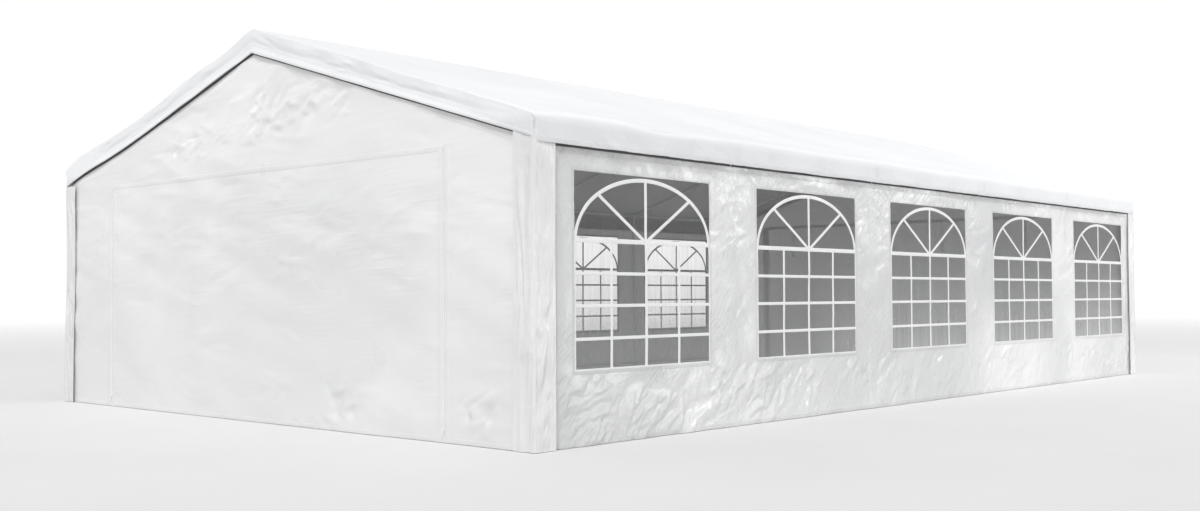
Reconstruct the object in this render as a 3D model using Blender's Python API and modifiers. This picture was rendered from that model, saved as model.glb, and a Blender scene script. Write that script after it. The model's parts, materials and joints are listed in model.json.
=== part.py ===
"""Marquee tent of about 6 by 10 metres: a tube frame, a sheet roof cover, and sheet walls with windows.

Run it with: blender --background --python part.py

Metres, +Z up. The ground is z = 0 and the origin is under the middle of the tent. The long walls with
their windows face +X and -X. The gables with their zipped door panels face -Y and +Y.
"""

import math

import bmesh
import bpy
from mathutils import Matrix, Vector

# Driving dimensions of the cover, measured over its outer faces
COVER_WIDTH = 6.170
COVER_LENGTH = 10.170
EAVE_HEIGHT = 2.083
RIDGE_HEIGHT = 3.044
EAVE_ROUNDING = 0.045
EAVE_ARC_STEPS = 4
EAVE_VALANCE_DROP = 0.170
GABLE_VALANCE_RIDGE_DROP = 0.195
GABLE_VALANCE_EAVE_DROP = 0.150

# Sheets, modelled thicker than the real cloth so that they are solids
SHEET = 0.004
FILM = 0.002
GAP = 0.0003

# Tube frame, with sleeves as joints
FRAME_COUNT = 6
FRAME_PITCH = 2.016
TUBE_RADIUS = 0.019
SLEEVE_RADIUS = 0.0215
SLEEVE_HALF_LENGTH = 0.030
STUB_LENGTH = 0.080
TUBE_SIDES = 12
FOOT_SIZE = 0.100
FOOT_THICKNESS = 0.005
FOOT_SETBACK = 0.001
PEG_HOLE_RADIUS = 0.006
PEG_HOLE_SIDES = 8
PEG_HOLE_SPACING = 0.060
PEG_HOLE_INSET = 0.022

# Corner covers: an L of sheet with a rounded corner
CORNER_REACH = 0.190
CORNER_ROUNDING = 0.045
CORNER_HEIGHT = 2.020
CORNER_ARC_STEPS = 6
STANDOFF = 0.0134

# Walls and their openings
SLIT = 0.018
WALL_SIDE_CLEARANCE = 0.035
WINDOW_COUNT = 5
WINDOW_PITCH = 2.000
WINDOW_WIDTH = 1.410
WINDOW_SILL = 0.480
WINDOW_HEAD = 1.757
DOOR_WIDTH = 4.440
DOOR_HEIGHT = 1.935

# Sizes that follow from those
HALF_WIDTH = COVER_WIDTH / 2
HALF_LENGTH = COVER_LENGTH / 2
SLOPE = (RIDGE_HEIGHT - EAVE_HEIGHT) / HALF_WIDTH
SLOPE_COS = math.cos(math.atan(SLOPE))
AXIS_DROP = (SHEET + GAP + SLEEVE_RADIUS) / SLOPE_COS
WALL_INSET = SHEET + GAP + SHEET + STANDOFF
LEG_INSET = WALL_INSET + SHEET + GAP + TUBE_RADIUS
LEG_X = HALF_WIDTH - LEG_INSET
LEG_Y = HALF_LENGTH - LEG_INSET
VALANCE_BOTTOM = EAVE_HEIGHT - EAVE_VALANCE_DROP
WALL_TOP = VALANCE_BOTTOM - SLIT

SMOOTH_UP_TO = math.radians(35)
MERGE_WITHIN = 0.0001

SHEET_WHITE = (0.86, 0.87, 0.88)
STEEL_WHITE = (0.72, 0.73, 0.74)


def roof_top(x):
    """Height of the cover's outer face at a distance from the middle."""
    return RIDGE_HEIGHT - SLOPE * abs(x)


def axis_height(x):
    """Height of the centre line of the rafters at a distance from the middle."""
    return roof_top(x) - AXIS_DROP


def gable_valance_foot(x):
    """Height of the gable valance's lower edge, which runs less steeply than the roof."""
    widening = (GABLE_VALANCE_RIDGE_DROP - GABLE_VALANCE_EAVE_DROP) * (1 - abs(x) / HALF_WIDTH)
    return roof_top(x) - GABLE_VALANCE_EAVE_DROP - widening


def frame_positions():
    """The Y of each frame, front to back."""
    return [(i - (FRAME_COUNT - 1) / 2) * FRAME_PITCH for i in range(FRAME_COUNT)]


def window_centres():
    return [(i - (WINDOW_COUNT - 1) / 2) * WINDOW_PITCH for i in range(WINDOW_COUNT)]


# Rotations that stand a flat outline upright, its first axis along Y or along X
FACING_X = (math.radians(90), 0, math.radians(90))
FACING_Y = (math.radians(90), 0, 0)


# Scene helpers


def clear_scene():
    for old in list(bpy.data.objects):
        bpy.data.objects.remove(old, do_unlink=True)


def make_collection(name):
    collection = bpy.data.collections.new(name)
    bpy.context.scene.collection.children.link(collection)
    return collection


def make_material(name, colour, roughness, metallic=0.0, alpha=1.0):
    material = bpy.data.materials.new(name)
    material.use_nodes = True
    shader = material.node_tree.nodes["Principled BSDF"]
    shader.inputs["Base Color"].default_value = (*colour, 1.0)
    shader.inputs["Roughness"].default_value = roughness
    shader.inputs["Metallic"].default_value = metallic
    shader.inputs["Alpha"].default_value = alpha
    return material


def place(name, data, material, location=(0, 0, 0), rotation=(0, 0, 0)):
    """A named object in the tent's collection, with its own material."""
    obj = bpy.data.objects.new(name, data)
    obj.location = location
    obj.rotation_euler = rotation
    if not data.materials:
        data.materials.append(material)
    TENT.objects.link(obj)
    return obj


def helper(name, mesh):
    """An object that only takes part in a Boolean and is never shown."""
    obj = bpy.data.objects.new(name, mesh)
    obj.hide_render = True
    obj.display_type = "WIRE"
    CUTTERS.objects.link(obj)
    return obj


# Shape helpers


def rod_mesh(name, start, end, radius, sides=TUBE_SIDES):
    """A round bar between two points."""
    start = Vector(start)
    end = Vector(end)
    along = end - start
    turn = along.to_track_quat("Z", "Y").to_matrix().to_4x4()
    shape = bmesh.new()
    bmesh.ops.create_cone(
        shape,
        cap_ends=True,
        segments=sides,
        radius1=radius,
        radius2=radius,
        depth=along.length,
        matrix=Matrix.Translation((start + end) / 2) @ turn,
    )
    mesh = bpy.data.meshes.new(name)
    shape.to_mesh(mesh)
    shape.free()
    return mesh


def box_mesh(name, low, high):
    low = Vector(low)
    high = Vector(high)
    size = high - low
    shape = bmesh.new()
    bmesh.ops.create_cube(
        shape, size=1.0, matrix=Matrix.Translation((low + high) / 2) @ Matrix.Diagonal((*size, 1.0))
    )
    mesh = bpy.data.meshes.new(name)
    shape.to_mesh(mesh)
    shape.free()
    return mesh


def combined_mesh(name, base, joined=(), removed=()):
    """One mesh from a base mesh, with others joined to it and others cut out of it."""
    body = helper(name + "_base", base)
    for kind, meshes in (("UNION", joined), ("DIFFERENCE", removed)):
        for i, mesh in enumerate(meshes):
            boolean = body.modifiers.new(f"{kind.lower()}_{i}", "BOOLEAN")
            boolean.operation = kind
            boolean.solver = "EXACT"
            boolean.object = helper(f"{name}_{kind.lower()}_{i}", mesh)
    graph = bpy.context.evaluated_depsgraph_get()
    result = bpy.data.meshes.new_from_object(body.evaluated_get(graph))
    result.name = name
    for old in list(CUTTERS.objects):
        bpy.data.objects.remove(old, do_unlink=True)
    return result


def smooth_rounds(mesh):
    mesh.shade_smooth()
    mesh.set_sharp_from_angle(angle=SMOOTH_UP_TO)


def sheet_outline(name, outlines, thickness):
    """A flat sheet from closed outlines, the first one its edge and the rest its openings."""
    curve = bpy.data.curves.new(name, "CURVE")
    curve.dimensions = "2D"
    curve.fill_mode = "BOTH"
    curve.extrude = thickness / 2
    for outline in outlines:
        spline = curve.splines.new("POLY")
        spline.points.add(len(outline) - 1)
        for point, (across, up) in zip(spline.points, outline):
            point.co = (across, up, 0, 1)
        spline.use_cyclic_u = True
    return curve


def rectangle(low, high):
    return [(low[0], low[1]), (high[0], low[1]), (high[0], high[1]), (low[0], high[1])]


# Roof cover


def cover_profile():
    """Half of the cover's outer section, from the foot of the eave valance up to the ridge."""
    angle = math.atan(SLOPE)
    centre_x = HALF_WIDTH - EAVE_ROUNDING
    centre_z = roof_top(centre_x) - EAVE_ROUNDING / SLOPE_COS
    points = [(HALF_WIDTH, VALANCE_BOTTOM)]
    for i in range(EAVE_ARC_STEPS + 1):
        turn = (math.pi / 2 - angle) * i / EAVE_ARC_STEPS
        points.append((centre_x + EAVE_ROUNDING * math.cos(turn), centre_z + EAVE_ROUNDING * math.sin(turn)))
    points.append((0.0, RIDGE_HEIGHT))
    return points


def make_roof_cover():
    """Two slopes and two eave valances in one sheet, open at the gables."""
    material = make_material("roof_cover", SHEET_WHITE, 0.45)
    reach = HALF_LENGTH - SHEET - GAP
    shape = bmesh.new()
    ends = [[shape.verts.new((x, y, z)) for x, z in cover_profile()] for y in (-reach, reach)]
    for i in range(len(ends[0]) - 1):
        shape.faces.new((ends[0][i], ends[0][i + 1], ends[1][i + 1], ends[1][i]))
    bmesh.ops.recalc_face_normals(shape, faces=shape.faces)
    if sum(face.normal.z * face.calc_area() for face in shape.faces) < 0:
        bmesh.ops.reverse_faces(shape, faces=shape.faces)
    mesh = bpy.data.meshes.new("roof_cover")
    shape.to_mesh(mesh)
    shape.free()
    cover = place("roof_cover", mesh, material)
    mirror = cover.modifiers.new("other_slope", "MIRROR")
    mirror.use_axis = (True, False, False)
    mirror.merge_threshold = MERGE_WITHIN
    shell = cover.modifiers.new("sheet", "SOLIDIFY")
    shell.thickness = SHEET
    shell.offset = -1
    shell.use_even_offset = True
    smooth_rounds(mesh)


def make_gable_valances():
    """The chevron of sheet that closes each end of the roof."""
    material = make_material("gable_valance", SHEET_WHITE, 0.45)
    half = [point for point in cover_profile() if point[1] > VALANCE_BOTTOM]
    top = half + [(-x, z) for x, z in reversed(half[:-1])]
    outline = top + [(x, gable_valance_foot(x)) for x in (-HALF_WIDTH, 0.0, HALF_WIDTH)]
    for name, side in (("front", -1), ("back", 1)):
        curve = sheet_outline(f"gable_valance_{name}", [outline], SHEET)
        place(curve.name, curve, material, (0, side * (HALF_LENGTH - SHEET / 2), 0), FACING_Y)


# Walls, windows and door panels


def make_long_walls():
    wall_material = make_material("long_wall", SHEET_WHITE, 0.35)
    film_material = make_material("window_film", (0.62, 0.65, 0.67), 0.08, alpha=0.3)
    reach = HALF_LENGTH - WALL_SIDE_CLEARANCE
    middle = HALF_WIDTH - WALL_INSET - SHEET / 2
    edge = rectangle((-reach, 0.0), (reach, WALL_TOP))
    half = WINDOW_WIDTH / 2
    holes = [rectangle((y - half, WINDOW_SILL), (y + half, WINDOW_HEAD)) for y in window_centres()]
    film = rectangle((-half + GAP, WINDOW_SILL + GAP), (half - GAP, WINDOW_HEAD - GAP))
    for name, side in (("left", -1), ("right", 1)):
        curve = sheet_outline(f"wall_{name}", [edge, *holes], SHEET)
        place(curve.name, curve, wall_material, (side * middle, 0, 0), FACING_X)
        for i, y in enumerate(window_centres()):
            pane = sheet_outline(f"window_{name}_{i + 1}", [film], FILM)
            place(pane.name, pane, film_material, (side * middle, y, 0), FACING_X)


def make_gable_walls():
    wall_material = make_material("gable_wall", SHEET_WHITE, 0.4)
    door_material = make_material("door_panel", SHEET_WHITE, 0.4)
    reach = HALF_WIDTH - WALL_SIDE_CLEARANCE
    middle = HALF_LENGTH - WALL_INSET - SHEET / 2
    door = DOOR_WIDTH / 2
    # The doorway is open at the ground, so the wall's edge runs up one zip and down the other.
    edge = [
        (-reach, 0.0),
        (-door, 0.0),
        (-door, DOOR_HEIGHT),
        (door, DOOR_HEIGHT),
        (door, 0.0),
        (reach, 0.0),
        *[(x, gable_valance_foot(x) - SLIT) for x in (reach, 0.0, -reach)],
    ]
    panel = rectangle((-door + GAP, 0.0), (door - GAP, DOOR_HEIGHT - GAP))
    for name, side in (("front", -1), ("back", 1)):
        curve = sheet_outline(f"wall_{name}", [edge], SHEET)
        place(curve.name, curve, wall_material, (0, side * middle, 0), FACING_Y)
        curve = sheet_outline(f"door_panel_{name}", [panel], SHEET)
        place(curve.name, curve, door_material, (0, side * middle, 0), FACING_Y)


def corner_path(outer):
    """One side of a corner cover's L section, seen from above at the +X +Y corner."""
    within = 0.0 if outer else SHEET
    face_x = HALF_WIDTH - SHEET - GAP - within
    face_y = HALF_LENGTH - SHEET - GAP - within
    rounding = CORNER_ROUNDING - within
    points = [(face_x, HALF_LENGTH - CORNER_REACH)]
    for i in range(CORNER_ARC_STEPS + 1):
        turn = math.pi / 2 * i / CORNER_ARC_STEPS
        x = face_x - rounding + rounding * math.cos(turn)
        y = face_y - rounding + rounding * math.sin(turn)
        points.append((x, y))
    points.append((HALF_WIDTH - CORNER_REACH, face_y))
    return points


def make_corner_covers():
    """The sheets that wrap the corner legs, from the ground up behind the valances."""
    material = make_material("corner_cover", SHEET_WHITE, 0.4)
    base = corner_path(True) + list(reversed(corner_path(False)))
    for end, along in (("front", -1), ("back", 1)):
        for name, side in (("left", -1), ("right", 1)):
            outline = [(x * side, y * along) for x, y in base]
            curve = sheet_outline(f"corner_cover_{end}_{name}", [outline], CORNER_HEIGHT)
            place(curve.name, curve, material, (0, 0, CORNER_HEIGHT / 2))


# Tube frame


def eave_joint():
    return Vector((LEG_X, 0.0, axis_height(LEG_X)))


def rafter_direction():
    """Unit vector up the right-hand slope, from the eave to the ridge."""
    return Vector((-1.0, 0.0, SLOPE)).normalized()


def stub_mesh(name, joint, direction):
    """The sleeve of a joint that takes one tube. It starts inside the joint's bore."""
    return rod_mesh(name, joint + direction * TUBE_RADIUS / 2, joint + direction * STUB_LENGTH, SLEEVE_RADIUS)


def bore_mesh(name, joint):
    """The bar that cuts a sleeve's bore for a purlin, longer than the sleeve."""
    past = Vector((0.0, 2 * SLEEVE_HALF_LENGTH, 0.0))
    return rod_mesh(name, joint - past, joint + past, TUBE_RADIUS + GAP)


def leg_mesh(name, foot_shift):
    """A leg at the right-hand side: foot plate, tube, and the sleeves that take the purlin and the rafter."""
    joint = eave_joint()
    outer = joint.x + TUBE_RADIUS - FOOT_SETBACK
    low = (outer - FOOT_SIZE, foot_shift - FOOT_SIZE / 2, 0.0)
    high = (outer, foot_shift + FOOT_SIZE / 2, FOOT_THICKNESS)
    along = Vector((0.0, SLEEVE_HALF_LENGTH, 0.0))
    down = Vector((0.0, 0.0, -1.0))
    holes = []
    for i, offset in enumerate((-PEG_HOLE_SPACING / 2, PEG_HOLE_SPACING / 2)):
        spot = Vector((low[0] + PEG_HOLE_INSET, foot_shift + offset, 0.0))
        depth = down * 2 * FOOT_THICKNESS
        hole = rod_mesh(f"{name}_hole_{i}", spot - depth, spot + depth, PEG_HOLE_RADIUS, PEG_HOLE_SIDES)
        holes.append(hole)
    tube = rod_mesh(name, (joint.x, 0.0, FOOT_THICKNESS / 2), joint + down * STUB_LENGTH / 2, TUBE_RADIUS)
    return combined_mesh(
        name,
        tube,
        joined=[
            box_mesh(name + "_foot", low, high),
            rod_mesh(name + "_sleeve", joint - along, joint + along, SLEEVE_RADIUS),
            stub_mesh(name + "_post_stub", joint, down),
            stub_mesh(name + "_rafter_stub", joint, rafter_direction()),
        ],
        removed=[bore_mesh(name + "_bore", joint), *holes],
    )


def make_legs():
    """Each leg's foot plate lies inward of it. A leg on the left is a right-hand one turned round."""
    material = make_material("leg", STEEL_WHITE, 0.35, metallic=0.3)
    shift = FOOT_SIZE / 2 - TUBE_RADIUS + FOOT_SETBACK
    meshes = {i: leg_mesh(f"leg_{i}", -i * shift) for i in (-1, 0, 1)}
    for mesh in meshes.values():
        smooth_rounds(mesh)
    positions = frame_positions()
    for i, y in enumerate(positions):
        corner = {0: -1, len(positions) - 1: 1}.get(i, 0)
        place(f"leg_right_{i + 1}", meshes[corner], material, (0, y, 0))
        place(f"leg_left_{i + 1}", meshes[-corner], material, (0, y, 0), (0, 0, math.pi))


def make_rafters():
    """Each frame's two rafters meet in a ridge sleeve, which the ridge purlin runs through."""
    material = make_material("rafter", STEEL_WHITE, 0.35, metallic=0.3)
    ridge = Vector((0.0, 0.0, axis_height(0.0)))
    along = Vector((0.0, SLEEVE_HALF_LENGTH, 0.0))
    foot = eave_joint() + rafter_direction() * (STUB_LENGTH + GAP)
    joined = []
    for name, side in (("right", 1.0), ("left", -1.0)):
        mirrored = Matrix.Diagonal((side, 1.0, 1.0))
        down = mirrored @ -rafter_direction()
        head = ridge + down * STUB_LENGTH / 2
        joined.append(rod_mesh(f"rafter_{name}", mirrored @ foot, head, TUBE_RADIUS))
        joined.append(stub_mesh(f"ridge_stub_{name}", ridge, down))
    mesh = combined_mesh(
        "rafter_pair",
        rod_mesh("ridge_sleeve", ridge - along, ridge + along, SLEEVE_RADIUS),
        joined=joined,
        removed=[bore_mesh("ridge_bore", ridge)],
    )
    smooth_rounds(mesh)
    for i, y in enumerate(frame_positions()):
        place(f"rafters_{i + 1}", mesh, material, (0, y, 0))


def make_purlins():
    material = make_material("purlin", STEEL_WHITE, 0.35, metallic=0.3)
    reach = Vector((0.0, LEG_Y + SLEEVE_HALF_LENGTH, 0.0))
    mesh = rod_mesh("purlin", -reach, reach, TUBE_RADIUS)
    smooth_rounds(mesh)
    place("ridge_purlin", mesh, material, (0, 0, axis_height(0.0)))
    for name, side in (("left", -1), ("right", 1)):
        place(f"eave_purlin_{name}", mesh, material, (side * LEG_X, 0, axis_height(LEG_X)))


clear_scene()
TENT = make_collection("marquee_tent")
CUTTERS = make_collection("cutters")
make_legs()
make_rafters()
make_purlins()
make_roof_cover()
make_gable_valances()
make_long_walls()
make_gable_walls()
make_corner_covers()
bpy.data.collections.remove(CUTTERS)
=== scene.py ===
"""Looks of the marquee tent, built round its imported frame.

Metres, +Z up, in the frame's own axes: the ridge runs along Y, the long windowed walls face +X and -X, and
the gables face -Y and +Y. Every sheet is a grid of points over a flat form, raised by its own creases.
"""

import json
import math

import bpy
import numpy as np
from mathutils import Matrix, Vector

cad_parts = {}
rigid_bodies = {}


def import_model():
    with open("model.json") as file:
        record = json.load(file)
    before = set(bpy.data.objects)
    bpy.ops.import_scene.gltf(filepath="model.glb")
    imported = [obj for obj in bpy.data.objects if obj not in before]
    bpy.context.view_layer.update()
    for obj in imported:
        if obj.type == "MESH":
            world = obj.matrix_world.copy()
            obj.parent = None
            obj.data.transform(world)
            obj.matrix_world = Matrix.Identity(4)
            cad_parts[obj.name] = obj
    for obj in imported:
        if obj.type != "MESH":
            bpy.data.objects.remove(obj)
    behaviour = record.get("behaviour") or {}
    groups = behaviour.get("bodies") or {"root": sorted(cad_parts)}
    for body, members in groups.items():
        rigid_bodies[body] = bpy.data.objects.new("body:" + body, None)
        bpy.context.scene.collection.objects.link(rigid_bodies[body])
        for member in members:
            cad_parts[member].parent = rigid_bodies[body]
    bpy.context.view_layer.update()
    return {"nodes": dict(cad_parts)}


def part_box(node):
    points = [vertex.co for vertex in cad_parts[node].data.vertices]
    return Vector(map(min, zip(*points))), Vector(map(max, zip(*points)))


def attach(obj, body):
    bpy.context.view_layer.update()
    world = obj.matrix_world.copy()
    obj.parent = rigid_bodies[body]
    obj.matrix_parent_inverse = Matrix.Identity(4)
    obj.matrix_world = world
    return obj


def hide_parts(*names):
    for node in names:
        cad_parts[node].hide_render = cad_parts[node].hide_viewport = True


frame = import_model()

SIDES = (("left", -1), ("right", 1))
ENDS = (("front", -1), ("back", 1))


def middle(node):
    low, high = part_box(node)
    return (low + high) / 2


SLIT = 0.018  # the solids' gap between a valance and the wall below it
SLIT_COVER = 0.003  # how far the valances and the walls' tops each reach into the slit
GROUND_GAP = 0.003

# Sizes read from the frame
ROOF_LOW, ROOF_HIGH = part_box("roof_cover")
HALF_WIDTH = ROOF_HIGH.x
HALF_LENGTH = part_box("gable_valance_back")[1].y
RIDGE_HEIGHT = ROOF_HIGH.z
VALANCE_FOOT = ROOF_LOW.z
RIDGE_TUBE = middle("ridge_purlin")
EAVE_TUBE = middle("eave_purlin_right")
TUBE_RADIUS = (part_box("ridge_purlin")[1].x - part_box("ridge_purlin")[0].x) / 2
PURLIN_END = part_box("ridge_purlin")[1].y
SLOPE = (RIDGE_TUBE.z - EAVE_TUBE.z) / EAVE_TUBE.x
FRAME_NODES = sorted(n for n in frame["nodes"] if n.startswith("rafters_"))
FRAME_Y = [middle(n).y for n in FRAME_NODES]
BAY = FRAME_Y[1] - FRAME_Y[0]
LONG_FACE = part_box("wall_right")[1].x
LONG_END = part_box("wall_right")[1].y
LONG_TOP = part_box("wall_right")[1].z + SLIT_COVER
GABLE_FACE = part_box("wall_back")[1].y
GABLE_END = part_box("wall_back")[1].x
GABLE_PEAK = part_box("wall_back")[1].z
DOOR_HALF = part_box("door_panel_back")[1].x
DOOR_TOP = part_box("door_panel_back")[1].z
CORNER_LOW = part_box("corner_cover_back_right")[0]
FASCIA_PEAK_FOOT = GABLE_PEAK + SLIT
FASCIA_SIDE_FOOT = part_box("gable_valance_back")[0].z
WINDOWS = [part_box(f"window_right_{i + 1}") for i in range(5)]
WINDOW_HALF = (WINDOWS[0][1].y - WINDOWS[0][0].y) / 2
WINDOW_SILL = WINDOWS[0][0].z
WINDOW_HEAD = WINDOWS[0][1].z
WINDOW_Y = [(low.y + high.y) / 2 for low, high in WINDOWS]

SLOPE_ANGLE = math.atan(SLOPE)


def roof_top(x):
    return RIDGE_HEIGHT - SLOPE * np.abs(x)


def fascia_foot(x):
    """The gable valance's lower edge."""
    share = np.abs(x) / HALF_WIDTH
    return FASCIA_PEAK_FOOT + (FASCIA_SIDE_FOOT - FASCIA_PEAK_FOOT) * share


# Numbers over an interval


def spaced(*parts):
    """Positions from one end to the other. Each part is (start, end, largest step)."""
    found = []
    for start, end, step in parts:
        count = max(1, math.ceil(abs(end - start) / step))
        found.append(np.linspace(start, end, count + 1)[:-1])
    return np.append(np.concatenate(found), parts[-1][1])


def even(step, *stops):
    """Positions through all the stops, at most a step apart."""
    return spaced(*[(a, b, step) for a, b in zip(stops, stops[1:])])


def smooth(low, high, x):
    """0 below low, 1 above high, and a soft step between."""
    share = np.clip((x - low) / (high - low), 0, 1)
    return share * share * (3 - 2 * share)


def bump(x, middle_at, width):
    return np.exp(-(((x - middle_at) / width) ** 2))


def patches(s, t, seed, length, low=0.45, high=0.75):
    """0 or 1 in soft patches about one length across."""
    draw = np.random.default_rng(seed)
    total = 0.0
    for _ in range(9):
        angle = draw.uniform(0, 2 * math.pi)
        number = 2 * math.pi / (length * draw.uniform(1.2, 3.0))
        total = total + np.sin(number * (s * math.cos(angle) + t * math.sin(angle)) + draw.uniform(0, 6.28))
    return smooth(low, high, 0.5 + total / 9)


NET = 256  # corners a way after which the net of facets repeats
NET_BEND = 0.11


def facets(s, t, seed, size, angle, stretch):
    """A crumpled surface of flat facets: heights from -1 to 1 at the corners of a bent net of triangles."""
    draw = np.random.default_rng(seed)
    u = (s * math.cos(angle) + t * math.sin(angle)) / (size * stretch)
    v = (t * math.cos(angle) - s * math.sin(angle)) / size
    for reach in (5.0, 2.6, 1.7):
        bend = draw.uniform(0.8, 1.2, 2) * 2 * math.pi / reach
        phase = draw.uniform(0, 2 * math.pi, 2)
        along, across = np.sin(bend[0] * v + phase[0]), np.sin(bend[1] * u + phase[1])
        u, v = u + NET_BEND * reach * along, v + NET_BEND * reach * across
    height = draw.uniform(-1, 1, (NET, NET))
    turned = draw.uniform(0, 1, (NET, NET)) < 0.5
    i, j = np.floor(u).astype(int), np.floor(v).astype(int)
    p, q = u - i, v - j
    swap = turned[i % NET, j % NET]
    left, right = np.where(swap, i + 1, i) % NET, np.where(swap, i, i + 1) % NET
    p = np.where(swap, 1 - p, p)
    j, up = j % NET, (j + 1) % NET
    low_half = height[left, j] * (1 - p - q) + height[right, j] * p + height[left, up] * q
    high_half = height[right, up] * (p + q - 1) + height[left, up] * (1 - p) + height[right, j] * (1 - q)
    return np.where(p + q < 1, low_half, high_half)


class Relief:
    """How far a sheet stands out from its flat form: soft waves all over, and single creases."""

    def __init__(self, seed):
        self.random = np.random.default_rng(seed)
        self.seed = seed
        self.waves = []
        self.creases = []
        self.crumples = []

    def add_waves(self, count, length, height, across=0.0, spread=math.pi):
        """Waves of about one length. They run along the angle across, give or take the spread."""
        for _ in range(count):
            angle = across + self.random.uniform(-spread, spread)
            number = 2 * math.pi / (length * self.random.uniform(0.7, 1.4))
            phase = self.random.uniform(0, 2 * math.pi)
            size = height * math.sqrt(2 / count)
            self.waves.append((number * math.cos(angle), number * math.sin(angle), phase, size))

    def add_crumple(self, size, height, angle, stretch, share=1.0, where=None):
        """Crumpled patches that cover a share of the sheet, or of where a function of s and t is 1."""
        self.crumples.append((size, height, angle, stretch, share, where))

    def add_crease(self, s, t, angle, length, width, height, bend=0.0):
        self.creases.append((s, t, math.cos(angle), math.sin(angle), length, width, height, bend))

    def scatter(self, count, s_range, t_range, angle, spread, length, width, height):
        """Short creases at random places. length, width and height are (least, most)."""
        draw = self.random.uniform
        for _ in range(count):
            place = draw(*s_range), draw(*t_range), angle + draw(-spread, spread), draw(*length), draw(*width)
            self.add_crease(*place, draw(*height) * (1 if draw(0, 1) < 0.6 else -1), draw(-0.6, 0.6))

    def add_fan(self, s, t, angle, spread, count, near, length, width, height):
        """Creases that spread from a point, starting a little way from it."""
        for i in range(count):
            turn = angle + spread * (2 * (i + 0.5) / count - 1) + self.random.uniform(-0.06, 0.06)
            reach = length * self.random.uniform(0.7, 1.2)
            away = near + reach / 2
            rise = height * self.random.uniform(0.6, 1.1) * (1 if i % 2 else -0.8)
            bend = self.random.uniform(-0.25, 0.25)
            at = s + away * math.cos(turn), t + away * math.sin(turn)
            self.add_crease(*at, turn, reach, width, rise, bend)

    def at(self, s, t):
        s, t = np.broadcast_arrays(np.asarray(s, float), np.asarray(t, float))
        height = np.zeros(s.shape)
        for along_s, along_t, phase, size in self.waves:
            height += size * np.sin(along_s * s + along_t * t + phase)
        for i, (size, rise, angle, stretch, share, where) in enumerate(self.crumples):
            seed = 100 * self.seed + i
            low, high = 0.75 - 0.5 * share, 0.9 - 0.5 * share
            cover = 1.0 if share >= 1 else patches(s, t, seed, 9 * size, low, high)
            if where is not None:
                cover = cover * where(s, t)
            height += rise * cover * facets(s, t, seed, size, angle, stretch)
        for s0, t0, cos, sin, length, width, rise, bend in self.creases:
            along = (s - s0) * cos + (t - t0) * sin
            near = np.abs(along) < length / 2
            if not near.any():
                continue
            a = along[near]
            off = (t[near] - t0) * cos - (s[near] - s0) * sin - bend * a * a
            height[near] += rise * (1 - (2 * a / length) ** 2) ** 2 * np.exp(-((off / width) ** 2))
        return height


class Shape:
    """Collects grids and turned forms into one mesh, with each point's place on its cloth in metres."""

    def __init__(self):
        self.points = []
        self.cloth = []
        self.faces = []
        self.count = 0

    def grid(self, points, cloth=None, keep=None, flip=False, closed=False):
        """Faces over a (rows, columns, 3) array of points. closed joins the last row to the first."""
        points = np.asarray(points, float)
        if cloth is None:
            cloth = np.zeros(points.shape[:2] + (2,))
        index = np.arange(points.shape[0] * points.shape[1]).reshape(points.shape[:2])
        if closed:
            index = np.vstack([index, index[:1]])
        quads = np.stack([index[:-1, :-1], index[1:, :-1], index[1:, 1:], index[:-1, 1:]], -1)
        quads = quads.reshape(-1, 4) if keep is None else quads[keep]
        if flip:
            quads = quads[:, ::-1]
        used, faces = np.unique(quads, return_inverse=True)
        self.points.append(points.reshape(-1, 3)[used])
        self.cloth.append(cloth.reshape(-1, 2)[used])
        self.faces += (faces.reshape(quads.shape) + self.count).tolist()
        self.count += len(used)

    def cover(self, surface, s, t, lift=0.0, keep=None, flip=False):
        """A grid of a surface over the positions s by t. keep says by a cell's middle whether it stays."""
        ss, tt = np.meshgrid(s, t, indexing="ij")
        if keep is not None:
            keep = keep((ss[:-1, :-1] + ss[1:, 1:]) / 2, (tt[:-1, :-1] + tt[1:, 1:]) / 2)
        self.grid(surface(ss, tt, lift), np.stack([ss, tt], -1), keep, flip)

    def turned(self, profile, start, along, sides=24):
        """A profile of (radius, distance) turned about the line from start along a direction."""
        along = Vector(along).normalized()
        turn = along.to_track_quat("Z", "Y").to_matrix()
        angles = np.linspace(0, 2 * math.pi, sides, endpoint=False)
        radii, reach = np.array(profile, float).T
        ring = np.stack([np.cos(angles), np.sin(angles)], -1)
        local = np.zeros((sides, len(profile), 3))
        local[..., :2] = ring[:, None, :] * radii[None, :, None]
        local[..., 2] = reach
        points = local @ np.array(turn).T + np.array(start)
        self.grid(points, closed=True)

    def mesh(self, name, material):
        mesh = bpy.data.meshes.new(name)
        mesh.from_pydata(np.concatenate(self.points).tolist(), [], self.faces)
        mesh.materials.append(material)
        return mesh

    def piece(self, name, material, slot, nodes=(), angle=None):
        """The finished object. Edges sharper than the angle stay sharp."""
        mesh = self.mesh(name, material)
        flat = np.zeros((self.count, 3), np.float32)
        flat[:, :2] = np.concatenate(self.cloth)
        mesh.attributes.new("cloth", "FLOAT_VECTOR", "POINT").data.foreach_set("vector", flat.ravel())
        return dressed(name, mesh, nodes, angle)


def placed(name, data):
    """A new object in the scene."""
    obj = bpy.data.objects.new(name, data)
    bpy.context.scene.collection.objects.link(obj)
    return obj


def dressed(name, mesh, nodes=(), angle=None):
    """A smooth object that rides on the frame and stands for its CAD nodes."""
    mesh.shade_smooth()
    if angle is not None:
        mesh.set_sharp_from_angle(angle=math.radians(angle))
    obj = placed(name, mesh)
    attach(obj, "root")
    if nodes:
        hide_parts(*nodes)
    return obj


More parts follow.
